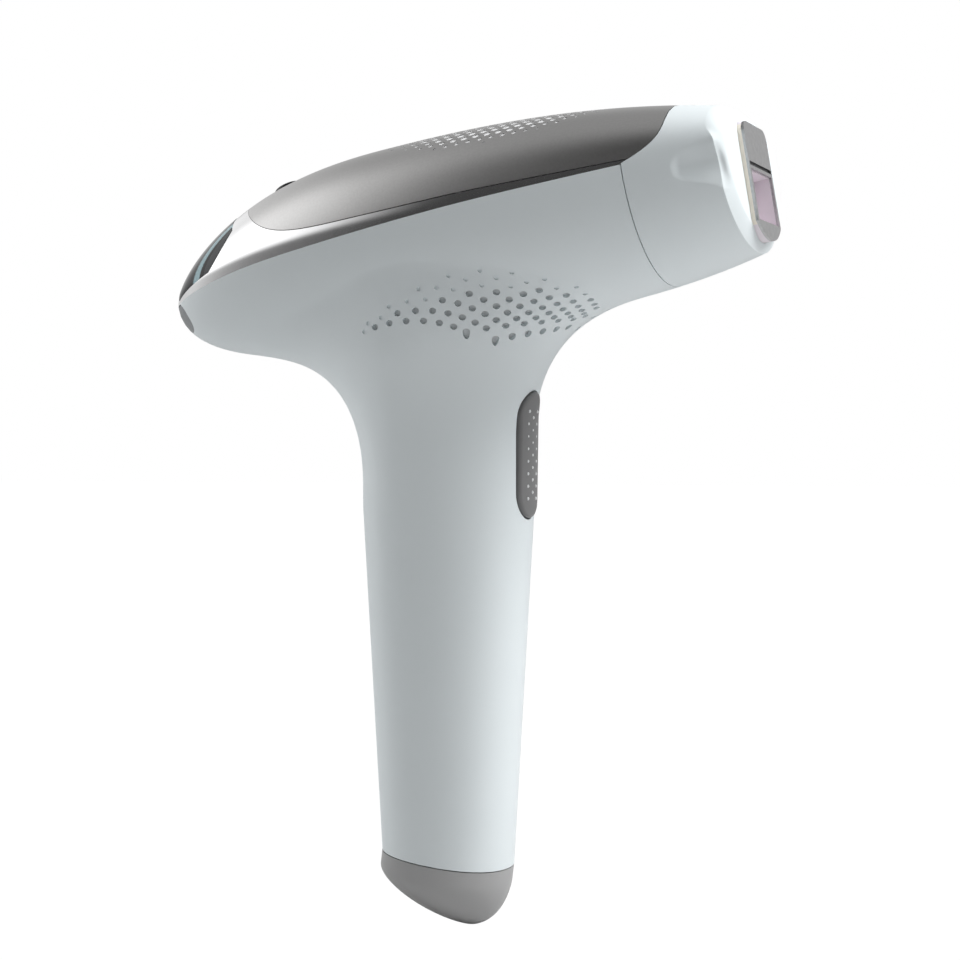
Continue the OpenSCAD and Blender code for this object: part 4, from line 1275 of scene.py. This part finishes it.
def cap_grid(inset, cols=128):
    th = np.linspace(0, 2 * math.pi, cols, endpoint=False)
    base = reach(np.full(cols, CAP_Z), th) - inset
    rows = []
    for d in cap_depths(inset):
        t = np.clip((d - CAP_STEP) / (CAP_H - inset - CAP_STEP), 0, 1)
        size = max(0.0001, 1 - t**CAP_POWER) ** (1 / CAP_POWER)
        r = np.maximum(CAP_LEAST_R, base * size)
        rows.append(cap_xyz(r * np.cos(th) + CAP_SHIFT * t**CAP_POWER, r * np.sin(th), d))
    return np.array(rows)


def inlet_hole():
    place = cap_xyz(np.array(INLET_U), 0.0, INLET_D)
    turn = math.pi - CAP_TILT + INLET_LEAN
    out = np.array([math.sin(turn), 0, math.cos(turn)])
    right = np.array([math.cos(turn), 0, -math.sin(turn)])
    return prism(circle(INLET_R, 48), place - INLET_DEEP * out, place + INLET_OUT * out, right, ACROSS)


cap_part = skin_part(cap_grid(0.0), cap_grid(WALL), ring=True, cap=True, flip=True)
end_cap = mesh_object("end_cap_skin", cap_part, GREY, 40)
cut(end_cap, [inlet_hole()])
shade(end_cap, 40)
settle(end_cap, "body", "grey_plastic", "end_cap")


# Camera at the photograph's viewing angle

CAMERA_AZ = math.radians(22.25)
CAMERA_EL = math.radians(0.8)
CAMERA_DIST = 0.490
CAMERA_FOV = math.radians(26)
CAMERA_AIM = (8.0, 0.0, 105.1)


def add_camera():
    level = math.cos(CAMERA_EL)
    direction = Vector((math.sin(CAMERA_AZ) * level, -math.cos(CAMERA_AZ) * level, math.sin(CAMERA_EL)))
    data = bpy.data.cameras.new("camera")
    data.angle = CAMERA_FOV
    data.clip_start = 0.01
    data.clip_end = 20
    camera = bpy.data.objects.new("camera", data)
    camera.location = Vector(to_part(CAMERA_AIM)) + direction * CAMERA_DIST
    camera.rotation_euler = (-direction).to_track_quat("-Z", "Y").to_euler()
    bpy.context.scene.collection.objects.link(camera)
    bpy.context.scene.camera = camera


add_camera()


# Soft lamps for the matt surfaces; the world gives the reflections. Places in metres, powers in watts

LIGHT_AIM = (0, 0, 0.1)


def area_light(name, place, size, power):
    data = bpy.data.lights.new(name, "AREA")
    data.shape = "RECTANGLE"
    data.size, data.size_y = size
    data.energy = power
    obj = bpy.data.objects.new(name, data)
    obj.location = place
    obj.rotation_euler = (Vector(LIGHT_AIM) - Vector(place)).to_track_quat("-Z", "Y").to_euler()
    obj.visible_glossy = False
    bpy.context.scene.collection.objects.link(obj)


area_light("lamp_left", (-0.75, 0.1, 0.15), (0.4, 0.6), 1.85)
area_light("lamp_top", (0.5, 0.05, 0.68), (0.5, 0.5), 6.9)
area_light("lamp_front", (0.25, -0.9, 0.15), (0.6, 0.6), 0.6)


# World and floor: plain white where they are looked at, soft glows elsewhere

# Each glow is a product of ramps over the direction: from, to, and the strength at both
LEFT_GLOW = {"X": (-0.78, -0.45, 1.1, 0.0), "Z": (0.1, 0.2, 0.1, 1.0), "Y": (-0.3, 0.3, 1.0, 0.35)}
BACK_GLOW = {"Y": (-0.75, 0.1, 0.05, 0.6), "Z": (0.3, 0.7, 1.0, 0.6)}
FLOOR_HALF = 6.0
FLOOR_GREY = (0.6, 0.6, 0.6)
FLOOR_GLOW = 1.05
FLOOR_GLOW_SHARE = 0.95


def seen_directly(tree):
    rays = tree.nodes.new("ShaderNodeLightPath")
    return joined(tree, "MAXIMUM", rays.outputs["Is Camera Ray"], rays.outputs["Is Transmission Ray"])


def glow(tree, direction, ramps):
    strength = 1.0
    for axis, values in ramps.items():
        ramp = tree.nodes.new("ShaderNodeMapRange")
        ramp.interpolation_type = "SMOOTHSTEP"
        for socket, value in zip(("From Min", "From Max", "To Min", "To Max"), values):
            ramp.inputs[socket].default_value = value
        tree.links.new(direction.outputs[axis], ramp.inputs["Value"])
        strength = joined(tree, "MULTIPLY", strength, ramp.outputs["Result"])
    return strength


def add_world():
    world = bpy.data.worlds.new("studio")
    bpy.context.scene.world = world
    world.use_nodes = True
    tree = world.node_tree
    direction = tree.nodes.new("ShaderNodeSeparateXYZ")
    tree.links.new(tree.nodes.new("ShaderNodeTexCoord").outputs["Generated"], direction.inputs[0])
    around = joined(tree, "ADD", glow(tree, direction, LEFT_GLOW), glow(tree, direction, BACK_GLOW))
    seen = seen_directly(tree)
    unseen = joined(tree, "SUBTRACT", 1.0, seen)
    strength = joined(tree, "MAXIMUM", seen, joined(tree, "MULTIPLY", around, unseen))
    background = tree.nodes["Background"]
    background.inputs["Color"].default_value = (1, 1, 1, 1)
    tree.links.new(strength, background.inputs["Strength"])


def add_floor():
    mesh = bpy.data.meshes.new("floor")
    corners = [(FLOOR_HALF * x, FLOOR_HALF * y, 0) for x, y in ((-1, -1), (1, -1), (1, 1), (-1, 1))]
    mesh.from_pydata(corners, [], [(0, 1, 2, 3)])
    floor = bpy.data.objects.new("floor", mesh)
    bpy.context.scene.collection.objects.link(floor)
    mat, nodes, links, bsdf = new_material("floor")
    bsdf.inputs["Base Color"].default_value = (*FLOOR_GREY, 1)
    bsdf.inputs["Roughness"].default_value = 0.9
    shine = nodes.new("ShaderNodeEmission")
    shine.inputs["Strength"].default_value = FLOOR_GLOW
    mix = nodes.new("ShaderNodeMixShader")
    share = joined(mat.node_tree, "MULTIPLY", seen_directly(mat.node_tree), FLOOR_GLOW_SHARE)
    links.new(share, mix.inputs["Fac"])
    links.new(bsdf.outputs[0], mix.inputs[1])
    links.new(shine.outputs[0], mix.inputs[2])
    links.new(mix.outputs[0], nodes["Material Output"].inputs["Surface"])
    mesh.materials.append(mat)


add_world()
add_floor()

bpy.context.scene.view_settings.view_transform = "Standard"
